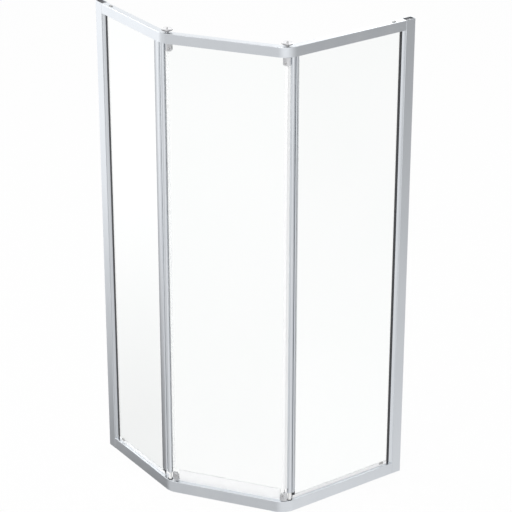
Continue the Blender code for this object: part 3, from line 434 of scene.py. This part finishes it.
def as_plain_mesh(item, name):
    """Turns an object and its modifiers into one plain mesh object at the origin."""
    bpy.context.view_layer.update()
    evaluated = item.evaluated_get(bpy.context.evaluated_depsgraph_get())
    mesh = bpy.data.meshes.new_from_object(evaluated)
    drop(item)
    mesh.name = name
    return link(bpy.data.objects.new(name, mesh))


def fit(piece, body, finish_name, *nodes):
    """Gives a piece its finish, its body and the nodes that it stands for."""
    piece.data.materials.clear()
    piece.data.materials.append(finishes[finish_name])
    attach(piece, body)
    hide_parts(*nodes)
    return piece


def rounded_copy(node, edge, steps=2):
    """A merged copy of a solid, with its edges rounded."""
    shape = bmesh.new()
    shape.from_mesh(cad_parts[node].data)
    bmesh.ops.remove_doubles(shape, verts=shape.verts, dist=fit_gap / 30)
    bmesh.ops.dissolve_limit(shape, angle_limit=math.radians(0.5), verts=shape.verts, edges=shape.edges)
    mesh = bpy.data.meshes.new(node + "_rounded")
    shape.to_mesh(mesh)
    shape.free()
    mesh.materials.clear()
    mesh.shade_smooth()
    item = link(bpy.data.objects.new(node + "_rounded", mesh))
    rounding = item.modifiers.new("edges", "BEVEL")
    rounding.width = edge
    rounding.segments = steps
    rounding.limit_method = "ANGLE"
    rounding.angle_limit = rounding_angle
    rounding.use_clamp_overlap = True
    add_even_shading(item)
    return as_plain_mesh(item, node + "_rounded")


# Extrusions that follow a path

def curve_through(name, points, closed, radii=None):
    """A curve of straight stretches. A point's radius is how far its corner is rounded."""
    curve = bpy.data.curves.new(name, "CURVE")
    curve.dimensions = "3D"
    line = curve.splines.new("POLY")
    line.points.add(len(points) - 1)
    for number, point in enumerate(points):
        line.points[number].co = (*point, 1.0)
        line.points[number].radius = radii[number] if radii else 1.0
    line.use_cyclic_u = closed
    return link(bpy.data.objects.new(name, curve))


def add_input(tree, name, kind):
    return tree.interface.new_socket(name, in_out="INPUT", socket_type=kind)


def make_extrusion_tree():
    """Sweeps a section along a path, with the path's bends and the section's corners rounded."""
    tree = bpy.data.node_groups.new("bent extrusion", "GeometryNodeTree")
    add_input(tree, "Path", "NodeSocketGeometry")
    add_input(tree, "Section", "NodeSocketObject")
    add_input(tree, "Bend radius", "NodeSocketFloat")
    add_input(tree, "Bend steps", "NodeSocketInt")
    add_input(tree, "Edge steps", "NodeSocketInt")
    add_input(tree, "Finish", "NodeSocketMaterial")
    tree.interface.new_socket("Extrusion", in_out="OUTPUT", socket_type="NodeSocketGeometry")
    nodes, links = tree.nodes, tree.links
    given = nodes.new("NodeGroupInput")
    result = nodes.new("NodeGroupOutput")
    bends = nodes.new("GeometryNodeFilletCurve")
    bends.mode = "POLY"
    upright = nodes.new("GeometryNodeSetCurveNormal")
    upright.mode = "Z_UP"
    section = nodes.new("GeometryNodeObjectInfo")
    corner = nodes.new("GeometryNodeInputRadius")
    corners = nodes.new("GeometryNodeFilletCurve")
    corners.mode = "POLY"
    corners.inputs["Limit Radius"].default_value = True
    sweep = nodes.new("GeometryNodeCurveToMesh")
    sweep.inputs["Fill Caps"].default_value = True
    merge = nodes.new("GeometryNodeMergeByDistance")
    merge.inputs["Distance"].default_value = fit_gap / 60
    real = nodes.new("GeometryNodeRealizeInstances")
    paint = nodes.new("GeometryNodeSetMaterial")
    links.new(given.outputs["Path"], bends.inputs["Curve"])
    links.new(given.outputs["Bend steps"], bends.inputs["Count"])
    links.new(given.outputs["Bend radius"], bends.inputs["Radius"])
    links.new(bends.outputs["Curve"], upright.inputs["Curve"])
    links.new(given.outputs["Section"], section.inputs["Object"])
    links.new(section.outputs["Geometry"], corners.inputs["Curve"])
    links.new(given.outputs["Edge steps"], corners.inputs["Count"])
    links.new(corner.outputs["Radius"], corners.inputs["Radius"])
    links.new(upright.outputs["Curve"], sweep.inputs["Curve"])
    links.new(corners.outputs["Curve"], sweep.inputs["Profile Curve"])
    links.new(sweep.outputs["Mesh"], merge.inputs["Geometry"])
    links.new(merge.outputs["Geometry"], real.inputs["Geometry"])
    links.new(real.outputs["Geometry"], paint.inputs["Geometry"])
    links.new(given.outputs["Finish"], paint.inputs["Material"])
    links.new(paint.outputs["Geometry"], result.inputs["Extrusion"])
    return tree


def run_tree(item, tree, values):
    """Puts a node tree on an object and sets its named inputs."""
    modifier = item.modifiers.new(tree.name, "NODES")
    modifier.node_group = tree
    for entry in tree.interface.items_tree:
        if entry.name in values:
            modifier[entry.identifier] = values[entry.name]
    return modifier


def extrude(name, path, section, finish_name, tools=()):
    """A bent extrusion. Its section is given as depth, height and corner radius, seen from the left end.

    Tools are closed meshes that are cut out of it.
    """
    places = [(-depth, -height, 0.0) for depth, height, corner in section]
    outline = curve_through(name + "_section", places, True, [corner for depth, height, corner in section])
    item = curve_through(name + "_path", path, False)
    values = {
        "Section": outline, "Bend radius": bend_radius, "Bend steps": bend_steps, "Edge steps": edge_steps,
        "Finish": finishes[finish_name],
    }
    run_tree(item, extrusion_tree, values)
    solid = as_plain_mesh(item, name)
    drop(outline)
    solid.data.shade_smooth()
    for tool in tools:
        bore = solid.modifiers.new("bore", "BOOLEAN")
        bore.operation = "DIFFERENCE"
        bore.solver = "EXACT"
        bore.object = tool
    if tools:
        solid = as_plain_mesh(solid, name)
    solid.data.set_sharp_from_angle(angle=extrusion_crease_angle)
    add_even_shading(solid)
    return as_plain_mesh(solid, name)


# Turned pieces

def ring_radius(shape, radius, turn):
    """A round ring, or a six-sided one for a socket."""
    if shape == "round":
        return radius
    sixth = math.tau / 6
    return radius * math.cos(sixth / 2) / math.cos(turn % sixth - sixth / 2)


def turned_shape(profile, steps, matrix):
    """A turned mesh. The profile is radius, height and ring shape. It ends on the axis, or is closed."""
    shape = bmesh.new()
    rings = []
    for radius, height, kind in profile:
        if radius == 0:
            rings.append([shape.verts.new(matrix @ Vector((0.0, 0.0, height)))])
            continue
        ring = []
        for step in range(steps):
            turn = math.tau * step / steps
            reach = ring_radius(kind, radius, turn)
            place = Vector((reach * math.cos(turn), reach * math.sin(turn), height))
            ring.append(shape.verts.new(matrix @ place))
        rings.append(ring)
    pairs = list(zip(rings[:-1], rings[1:]))
    if profile[0][0] > 0:
        pairs.append((rings[-1], rings[0]))
    for low, high in pairs:
        for step in range(steps):
            after = (step + 1) % steps
            corners = [
                low[step % len(low)], low[after % len(low)],
                high[after % len(high)], high[step % len(high)],
            ]
            corners = list(dict.fromkeys(corners))
            if len(corners) > 2:
                shape.faces.new(corners)
    bmesh.ops.recalc_face_normals(shape, faces=shape.faces)
    return shape


def rounded(profile, steps=4):
    """Rounds the corners of a turned profile, given as radius, height and corner radius."""
    result = []
    for number, (radius, height, corner) in enumerate(profile):
        here = Vector((radius, height))
        if corner == 0:
            result.append((radius, height, "round"))
            continue
        before = Vector(profile[number - 1][:2])
        after = Vector(profile[(number + 1) % len(profile)][:2])
        start = here + (before - here).normalized() * corner
        end = here + (after - here).normalized() * corner
        for step in range(steps + 1):
            share = step / steps
            place = start * (1 - share) ** 2 + here * 2 * share * (1 - share) + end * share ** 2
            result.append((place.x, place.y, "round"))
    return result


def creased_object(name, shape):
    """An object that is shaded smooth between its creases."""
    mesh = bpy.data.meshes.new(name)
    shape.to_mesh(mesh)
    shape.free()
    mesh.shade_smooth()
    mesh.set_sharp_from_angle(angle=crease_angle)
    return link(bpy.data.objects.new(name, mesh))


def turned_piece(name, profile, place, steps=round_steps):
    """A turned piece on an upright axis at a plan point."""
    shape = turned_shape(profile, steps, Matrix.Translation((place.x, place.y, 0.0)))
    item = creased_object(name, shape)
    add_even_shading(item)
    return as_plain_mesh(item, name)


def centre(node):
    low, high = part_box(node)
    return (low + high) / 2


def round_tool(place, radius, low, high):
    """A round cutting tool for a hole in a rail."""
    profile = [(0, low, "round"), (radius, low, "round"), (radius, high, "round"), (0, high, "round")]
    return turned_piece("tool", profile, place, tool_steps)


# Rails

def corner_points():
    """The four plan points where the outer faces start, meet and end."""
    edge = footprint / 2
    return [
        Vector((-edge, -edge)), Vector((left_side - edge, -edge)),
        Vector((edge, edge - right_side)), Vector((edge, edge)),
    ]


def rail_path(overrun=0.0):
    """The outer face line of the rails, between the two wall channels."""
    points = corner_points()
    inset = channel_width + fit_gap - overrun
    points[0] = points[0] + (points[1] - points[0]).normalized() * inset
    points[3] = points[3] + (points[2] - points[3]).normalized() * inset
    return [(point.x, point.y, 0.0) for point in points]


def box_section(near, far, low, high, corner):
    return [(near, low, corner), (far, low, corner), (far, high, corner), (near, high, corner)]


def make_top_rail():
    """The bent top rail: a channel with rounded shoulders, open below."""
    top = enclosure_height
    low = top - top_rail_face
    inside = rail_depth - rail_wall
    roof = top - rail_wall
    section = [
        (0.0, low, small_edge), (rail_wall, low, small_edge), (rail_wall, roof, small_edge),
        (inside, roof, small_edge), (inside, low, small_edge), (rail_depth, low, small_edge),
        (rail_depth, top, outer_edge), (0.0, top, outer_edge),
    ]
    tools = []
    for side in ("left", "right"):
        screw = centre(side + "_cap_screw")
        tools.append(round_tool(screw, cap_bore, top - cutter_reach, top + cutter_reach))
        plug = centre(side + "_upper_clip")
        bore = cap_bore + 2 * fit_gap
        tools.append(round_tool(plug, bore, top - cutter_reach, top + cutter_reach))
    rail = extrude("top_rail_bent", rail_path(), section, "rail aluminium", tools)
    drop(*tools)
    fit(rail, "frame", "rail aluminium", "top_rail")


def make_bottom_rail():
    """The bent bottom rail: a closed tube with holes for the foot cups and the lower bush."""
    high = bottom_rail_face
    inner = box_section(rail_wall, rail_depth - rail_wall, rail_wall, high - rail_wall, outer_edge / 2)
    hollow = extrude("hollow", rail_path(cutter_reach), inner, "rail aluminium")
    tools = [hollow]
    holes = {
        "left_foot_cup": cup_hole_radius, "right_foot_cup": cup_hole_radius,
        "lower_pivot_bush": bush_hole_radius,
    }
    for node, radius in holes.items():
        tools.append(round_tool(centre(node), radius, high - cutter_reach, high + cutter_reach))
    outer = box_section(0.0, rail_depth, 0.0, high, outer_edge)
    rail = extrude("bottom_rail_bent", rail_path(), outer, "rail aluminium", tools)
    drop(*tools)
    fit(rail, "frame", "rail aluminium", "bottom_rail")


# Uprights

def make_uprights():
    """Wall channels, sliding profiles and corner posts, with the small radii of a drawn section."""
    edges = {"wall_channel": channel_edge, "wall_profile": profile_edge, "corner_post": profile_edge}
    for side in ("left", "right"):
        for name, edge in edges.items():
            node = side + "_" + name
            fit(rounded_copy(node, edge, 3), "frame", "upright aluminium", node)
        for name in ("wall_gasket", "post_gasket"):
            node = side + "_" + name
            fit(rounded_copy(node, small_edge), "frame", "rubber", node)


def make_columns():
    """The two round tubes beside the door, with broken edges at their ends."""
    for side in ("left", "right"):
        node = side + "_corner_column"
        low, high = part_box(node)
        outer = (high.x - low.x) / 2
        inner = outer - column_wall
        profile = rounded([
            (inner, low.z, small_edge), (outer, low.z, soft_edge), (outer, high.z, small_edge),
            (inner, high.z, small_edge),
        ])
        column = turned_piece(side + "_column_tube", profile, centre(node))
        fit(column, "frame", "upright aluminium", node)


def make_feet():
    """The white pins under the columns, waisted between two collars, and their dark cups."""
    for side in ("left", "right"):
        node = side + "_column_foot"
        low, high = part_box(node)
        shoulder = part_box(side + "_corner_column")[0].z + fit_gap
        plug = (high.x - low.x) / 2
        collar = shoulder - foot_upper_collar
        base = bottom_rail_face + foot_lower_collar
        profile = rounded([
            (0, low.z, 0), (foot_radius, low.z, foot_edge), (foot_radius, base, collar_edge),
            (foot_waist_radius, base + foot_slope, collar_edge),
            (foot_waist_radius, collar - foot_slope, collar_edge), (foot_radius, collar, collar_edge),
            (foot_radius, shoulder, fine_edge), (plug, shoulder, soft_edge),
            (plug, high.z, profile_edge), (0, high.z, 0),
        ])
        fit(turned_piece(side + "_foot_pin", profile, centre(node)), "frame", "nylon", node)
        node = side + "_foot_cup"
        low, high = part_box(node)
        flange = (high.x - low.x) / 2
        bore = foot_radius + fit_gap
        barrel = bore + cup_wall
        ledge = high.z - cup_flange
        profile = rounded([
            (bore, low.z, fine_edge), (barrel, low.z, fine_edge), (barrel, ledge, fine_edge),
            (flange, ledge, small_edge), (flange, high.z, collar_edge), (bore, high.z, profile_edge),
        ])
        fit(turned_piece(side + "_cup", profile, centre(node)), "frame", "rubber", node)


# Caps, bushes, keepers and pins

def make_caps():
    """Round caps with a slightly domed top, a turned groove near the edge and a short hub."""
    for side in ("left", "right"):
        node = side + "_top_cap"
        low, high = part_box(node)
        under = low.z + cap_hub
        groove = cap_radius * cap_groove_share
        rim = high.z - cap_crown / 2
        profile = rounded([
            (cap_bore, low.z, fine_edge), (cap_hub_radius, low.z, soft_edge),
            (cap_hub_radius, under, collar_edge), (cap_radius - cap_chamfer, under, soft_edge),
            (cap_radius, under + cap_chamfer, soft_edge), (cap_radius, high.z - cap_crown, rim_edge),
            (groove + cap_groove_half_width, rim, fine_edge), (groove, rim - cap_groove, fine_edge),
            (groove - cap_groove_half_width, rim, fine_edge), (cap_radius / 2, high.z, dome_edge),
            (cap_bore, high.z, small_edge),
        ])
        cap = turned_piece(side + "_cap", profile, centre(node), cap_steps)
        fit(cap, "frame", "cap aluminium", node)


def make_small_turned_pieces():
    """Pins, bushes, keepers and magnets with broken edges."""
    pieces = [
        ("upper_pivot_bush", "frame", "nylon"), ("lower_pivot_bush", "frame", "nylon"),
        ("upper_catch_keeper", "frame", "steel"), ("lower_catch_keeper", "frame", "steel"),
        ("upper_pivot_pin", "door", "steel"), ("lower_pivot_pin", "door", "steel"),
        ("upper_catch_magnet", "door", "magnet"), ("lower_catch_magnet", "door", "magnet"),
    ]
    for node, body, finish_name in pieces:
        fit(rounded_copy(node, small_edge), body, finish_name, node)


# Corner blocks of the door, liners and seals

def block_nodes(ending):
    """The four nodes of one kind at the door's corners."""
    return [level + "_" + hand + ending for level in ("upper", "lower") for hand in ("hinge", "catch")]


def make_blocks():
    for node in block_nodes("_block"):
        fit(rounded_copy(node, block_edge, 3), "door", "block metal", node)


def make_moulded_pieces():
    """Clips, beads and joint blocks, with moulded edges."""
    for side in ("left", "right"):
        for name in ("lower_clip", "upper_clip"):
            node = side + "_" + name
            fit(rounded_copy(node, soft_edge, 3), "frame", "pale plastic", node)
        for name in ("top_bead", "upper_joint_block", "lower_joint_block"):
            node = side + "_" + name
            fit(rounded_copy(node, small_edge), "frame", "grey plastic", node)
        node = side + "_bottom_bead"
        fit(rounded_copy(node, small_edge), "frame", "milky vinyl", node)


def make_seals():
    """The door's seals. The one beside the left column is clear, and the column's edge shows through it."""
    vinyls = {
        "door_bottom_seal": "milky vinyl", "door_hinge_seal": "vinyl", "door_closing_seal": "milky vinyl",
    }
    for node, finish_name in vinyls.items():
        fit(rounded_copy(node, fine_edge), "door", finish_name, node)


def dress_kept_nodes():
    """Panes and liners keep their own shape and get their finish."""
    kept = {"left_side_glass": "glass", "right_side_glass": "glass", "door_glass": "glass"}
    for node in block_nodes("_block_liner"):
        kept[node] = "vinyl"
    for node, finish_name in kept.items():
        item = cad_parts[node]
        for slot in item.material_slots:
            slot.material = finishes[finish_name]
        if finish_name == "glass":
            item.visible_shadow = False


# Screws

def screw_shape(name, shank_radius, head_radius, head, length):
    """A low button head with a six-sided socket, on its shank. The head stands on z = 0."""
    socket = head_radius * screw_recess_share
    floor = head * (1 - screw_recess_depth_share)
    crown = [
        (head_radius, screw_head_foot), (head_radius, head * 0.42), (head_radius * 0.94, head * 0.68),
        (head_radius * 0.82, head * 0.88), (head_radius * 0.64, head),
    ]
    profile = [(0, -length, "round"), (shank_radius * 0.7, -length, "round")]
    profile += [(shank_radius, -length + shank_radius * 0.5, "round"), (shank_radius, 0, "round")]
    profile += [(head_radius * 0.97, 0, "round")]
    profile += [(radius, height, "round") for radius, height in crown]
    profile += [(socket * 1.08, head, "hex"), (socket, head - head * 0.08, "hex"), (socket, floor, "hex")]
    profile += [(0, floor - head * 0.1, "round")]
    return creased_object(name, turned_shape(profile, screw_steps, Matrix.Identity(4)))


def make_screw_tree():
    """Sets one screw on each place, turned to its seat."""
    tree = bpy.data.node_groups.new("screws on their seats", "GeometryNodeTree")
    add_input(tree, "Places", "NodeSocketGeometry")
    add_input(tree, "Screw", "NodeSocketObject")
    add_input(tree, "Tilt", "NodeSocketVector")
    add_input(tree, "Socket turn", "NodeSocketFloat")
    add_input(tree, "Seed", "NodeSocketInt")
    add_input(tree, "Finish", "NodeSocketMaterial")
    tree.interface.new_socket("Screws", in_out="OUTPUT", socket_type="NodeSocketGeometry")
    nodes, links = tree.nodes, tree.links
    given = nodes.new("NodeGroupInput")
    result = nodes.new("NodeGroupOutput")
    screw = nodes.new("GeometryNodeObjectInfo")
    points = nodes.new("GeometryNodeMeshToPoints")
    turn = nodes.new("FunctionNodeRandomValue")
    spin = nodes.new("ShaderNodeCombineXYZ")
    turned_points = nodes.new("FunctionNodeRotateEuler")
    turned_points.space = "LOCAL"
    instances = nodes.new("GeometryNodeInstanceOnPoints")
    real = nodes.new("GeometryNodeRealizeInstances")
    paint = nodes.new("GeometryNodeSetMaterial")
    links.new(given.outputs["Places"], points.inputs["Mesh"])
    links.new(given.outputs["Screw"], screw.inputs["Object"])
    links.new(given.outputs["Seed"], turn.inputs["Seed"])
    links.new(given.outputs["Socket turn"], turn.inputs[3])
    links.new(turn.outputs[1], spin.inputs["Z"])
    links.new(given.outputs["Tilt"], turned_points.inputs["Rotation"])
    links.new(spin.outputs["Vector"], turned_points.inputs["Rotate By"])
    links.new(points.outputs["Points"], instances.inputs["Points"])
    links.new(screw.outputs["Geometry"], instances.inputs["Instance"])
    links.new(turned_points.outputs["Rotation"], instances.inputs["Rotation"])
    links.new(instances.outputs["Instances"], real.inputs["Geometry"])
    links.new(real.outputs["Geometry"], paint.inputs["Geometry"])
    links.new(given.outputs["Finish"], paint.inputs["Material"])
    links.new(paint.outputs["Geometry"], result.inputs["Screws"])
    return tree


def set_screws(name, body, seats, shape, tilt, nodes):
    """Screws of one size on their seats, as one piece of one body."""
    mesh = bpy.data.meshes.new(name)
    mesh.from_pydata([tuple(seat) for seat in seats], [], [])
    item = link(bpy.data.objects.new(name, mesh))
    values = {
        "Screw": shape, "Tilt": tilt, "Socket turn": math.tau, "Seed": screw_seed,
        "Finish": finishes["steel"],
    }
    run_tree(item, screw_tree, values)
    screws = as_plain_mesh(item, name)
    drop(shape)
    fit(screws, body, "steel", *nodes)


def make_screws():
    """Four clamping screws in the door's blocks and one screw in each cap."""
    points = corner_points()
    along = (points[2] - points[1]).normalized()
    outward = Vector((along.y, -along.x, 0.0))
    nodes = block_nodes("_block_screw")
    seats = [centre(node) + outward * block_screw_seat for node in nodes]
    shape = screw_shape(
        "block_screw", block_screw_radius, block_screw_head_radius, block_screw_head, block_screw_shank)
    tilt = (math.radians(90), 0.0, math.atan2(outward.x, -outward.y))
    set_screws("block_clamping_screws", "door", seats, shape, tilt, nodes)
    nodes = ["left_cap_screw", "right_cap_screw"]
    low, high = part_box(nodes[0])
    seat = high.z - cap_screw_head
    seats = [(centre(node).x, centre(node).y, seat) for node in nodes]
    shape = screw_shape("cap_screw", cap_screw_radius, cap_screw_head_radius, cap_screw_head, seat - low.z)
    set_screws("cap_fixing_screws", "frame", seats, shape, (0.0, 0.0, 0.0), nodes)


# Floor, light and camera

def make_floor():
    """A pale floor that shows white to the camera and keeps the object's soft shadow."""
    places = []
    for x, y in ((-1, -1), (1, -1), (1, 1), (-1, 1)):
        places.append((x * floor_reach, y * floor_reach, -floor_drop))
    mesh = bpy.data.meshes.new("studio_floor")
    mesh.from_pydata(places, [], [(0, 1, 2, 3)])
    floor = link(bpy.data.objects.new("studio_floor", mesh))
    paint = bpy.data.materials.new("pale_floor")
    paint.use_nodes = True
    tree = paint.node_tree
    shader = tree.nodes["Principled BSDF"]
    shader.inputs["Base Color"].default_value = (floor_tone, floor_tone, floor_tone, 1.0)
    shader.inputs["Roughness"].default_value = 0.9
    shader.inputs["Specular IOR Level"].default_value = 0.0
    glow = tree.nodes.new("ShaderNodeEmission")
    glow.inputs["Color"].default_value = (1.0, 1.0, 1.0, 1.0)
    share = tree.nodes.new("ShaderNodeMath")
    share.operation = "MULTIPLY"
    share.inputs[1].default_value = floor_glow
    tree.links.new(seen_directly(tree), share.inputs[0])
    whole = mix_shaders(tree, share.outputs["Value"], shader.outputs["BSDF"], glow.outputs["Emission"])
    tree.links.new(whole, tree.nodes["Material Output"].inputs["Surface"])
    mesh.materials.append(paint)
    floor.visible_glossy = False


def add_ramp(tree, stops):
    """A grey ramp once round the studio, from west by south, with a tone at each heading in degrees."""
    ramp = tree.nodes.new("ShaderNodeValToRGB")
    ramp.color_ramp.interpolation = "EASE"
    elements = ramp.color_ramp.elements
    while len(elements) < len(stops):
        elements.new(0.5)
    for element, (heading, tone) in zip(elements, stops):
        element.position = (heading + 180.0) / 360.0
        element.color = (tone, tone, tone * 1.01, 1.0)
    return ramp


def make_walls(tree, turn, height):
    """Lighter and darker walls, in bands that fade into each other from the lowest up."""
    walls = None
    last = 0.0
    for angle, stops in wall_bands:
        band = add_ramp(tree, stops)
        tree.links.new(turn, band.inputs["Fac"])
        tone = band.outputs["Color"]
        level = -math.sin(math.radians(angle))
        if walls is None:
            walls = tone
        else:
            walls = mix_colours(tree, share_between(tree, height, last, level), walls, tone)
        last = level
    return walls


def add_background(tree, colour, strength=1.0):
    """A background of one colour. The colour is a socket or a plain tone."""
    shader = tree.nodes.new("ShaderNodeBackground")
    shader.inputs["Strength"].default_value = strength
    if isinstance(colour, tuple):
        shader.inputs["Color"].default_value = (*colour, 1.0)
    else:
        tree.links.new(colour, shader.inputs["Color"])
    return shader.outputs["Background"]


def make_studio():
    """White behind everything, an even soft light, and walls, ground and ceiling that gloss shows."""
    world = bpy.data.worlds.new("studio")
    bpy.context.scene.world = world
    world.use_nodes = True
    tree = world.node_tree
    nodes, links = tree.nodes, tree.links
    nodes.clear()
    place = nodes.new("ShaderNodeTexCoord")
    parts = nodes.new("ShaderNodeSeparateXYZ")
    heading = nodes.new("ShaderNodeMath")
    heading.operation = "ARCTAN2"
    links.new(place.outputs["Generated"], parts.inputs["Vector"])
    links.new(parts.outputs["Y"], heading.inputs[0])
    links.new(parts.outputs["X"], heading.inputs[1])
    height = parts.outputs["Z"]
    turn = share_between(tree, heading.outputs["Value"], -math.pi, math.pi)
    walls = make_walls(tree, turn, height)
    below = mix_colours(tree, share_between(tree, height, *ground_fade), walls, ground_tone)
    ceiling = share_between(tree, height, *ceiling_fade)
    above = mix_colours(tree, ceiling, low_ceiling_tone, high_ceiling_tone)
    room = mix_colours(tree, share_between(tree, height, *horizon_fade), below, above)
    ray = nodes.new("ShaderNodeLightPath")
    even = add_background(tree, (1.0, 1.0, 1.0), even_light)
    shine = mix_shaders(tree, ray.outputs["Is Glossy Ray"], even, add_background(tree, room))
    white = add_background(tree, (1.0, 1.0, 1.0))
    whole = mix_shaders(tree, seen_directly(tree), shine, white)
    output = nodes.new("ShaderNodeOutputWorld")
    links.new(whole, output.inputs["Surface"])


def add_softbox(name, place, target, size, power):
    lamp = bpy.data.lights.new(name, "AREA")
    lamp.shape = "RECTANGLE"
    lamp.size, lamp.size_y = size
    lamp.energy = power
    item = link(bpy.data.objects.new(name, lamp))
    item.location = place
    item.rotation_euler = (Vector(target) - Vector(place)).to_track_quat("-Z", "Y").to_euler()


def make_lights():
    middle = (0.0, 0.0, 1.0)
    add_softbox("key_softbox", (3.2, -4.6, 5.2), middle, (3.0, 3.0), 120.0)
    add_softbox("fill_softbox", (-4.6, -3.4, 3.6), middle, (3.0, 2.4), 55.0)
    add_softbox("back_softbox", (-2.4, 4.0, 5.0), middle, (3.0, 2.4), 45.0)


def make_camera():
    """Looks from the right front and above, with a long lens."""
    heading = math.radians(camera_heading)
    height_angle = math.radians(camera_height_angle)
    roll = math.radians(camera_roll)
    level = math.cos(height_angle)
    back = Vector((math.sin(heading) * level, -math.cos(heading) * level, math.sin(height_angle)))
    right = Vector((math.cos(heading), math.sin(heading), 0.0))
    up = back.cross(right)
    across = right * math.cos(roll) + up * math.sin(roll)
    upward = up * math.cos(roll) - right * math.sin(roll)
    lens = bpy.data.cameras.new("photo_camera")
    lens.sensor_width = 36.0
    lens.lens = camera_lens
    lens.shift_x = (photo_size / 2 - photo_middle[0]) / photo_size
    lens.shift_y = (photo_middle[1] - photo_size / 2) / photo_size
    lens.clip_end = 120.0
    camera = link(bpy.data.objects.new("photo_camera", lens))
    turn = Matrix((across, upward, back)).transposed().to_4x4()
    camera.matrix_world = Matrix.Translation(camera_place) @ turn
    bpy.context.scene.camera = camera


bpy.context.scene.view_settings.view_transform = "Standard"
make_camera()
finishes = make_finishes()
extrusion_tree = make_extrusion_tree()
screw_tree = make_screw_tree()
make_top_rail()
make_bottom_rail()
make_uprights()
make_columns()
make_feet()
make_caps()
make_small_turned_pieces()
make_blocks()
make_moulded_pieces()
make_seals()
make_screws()
dress_kept_nodes()
make_floor()
make_studio()
make_lights()
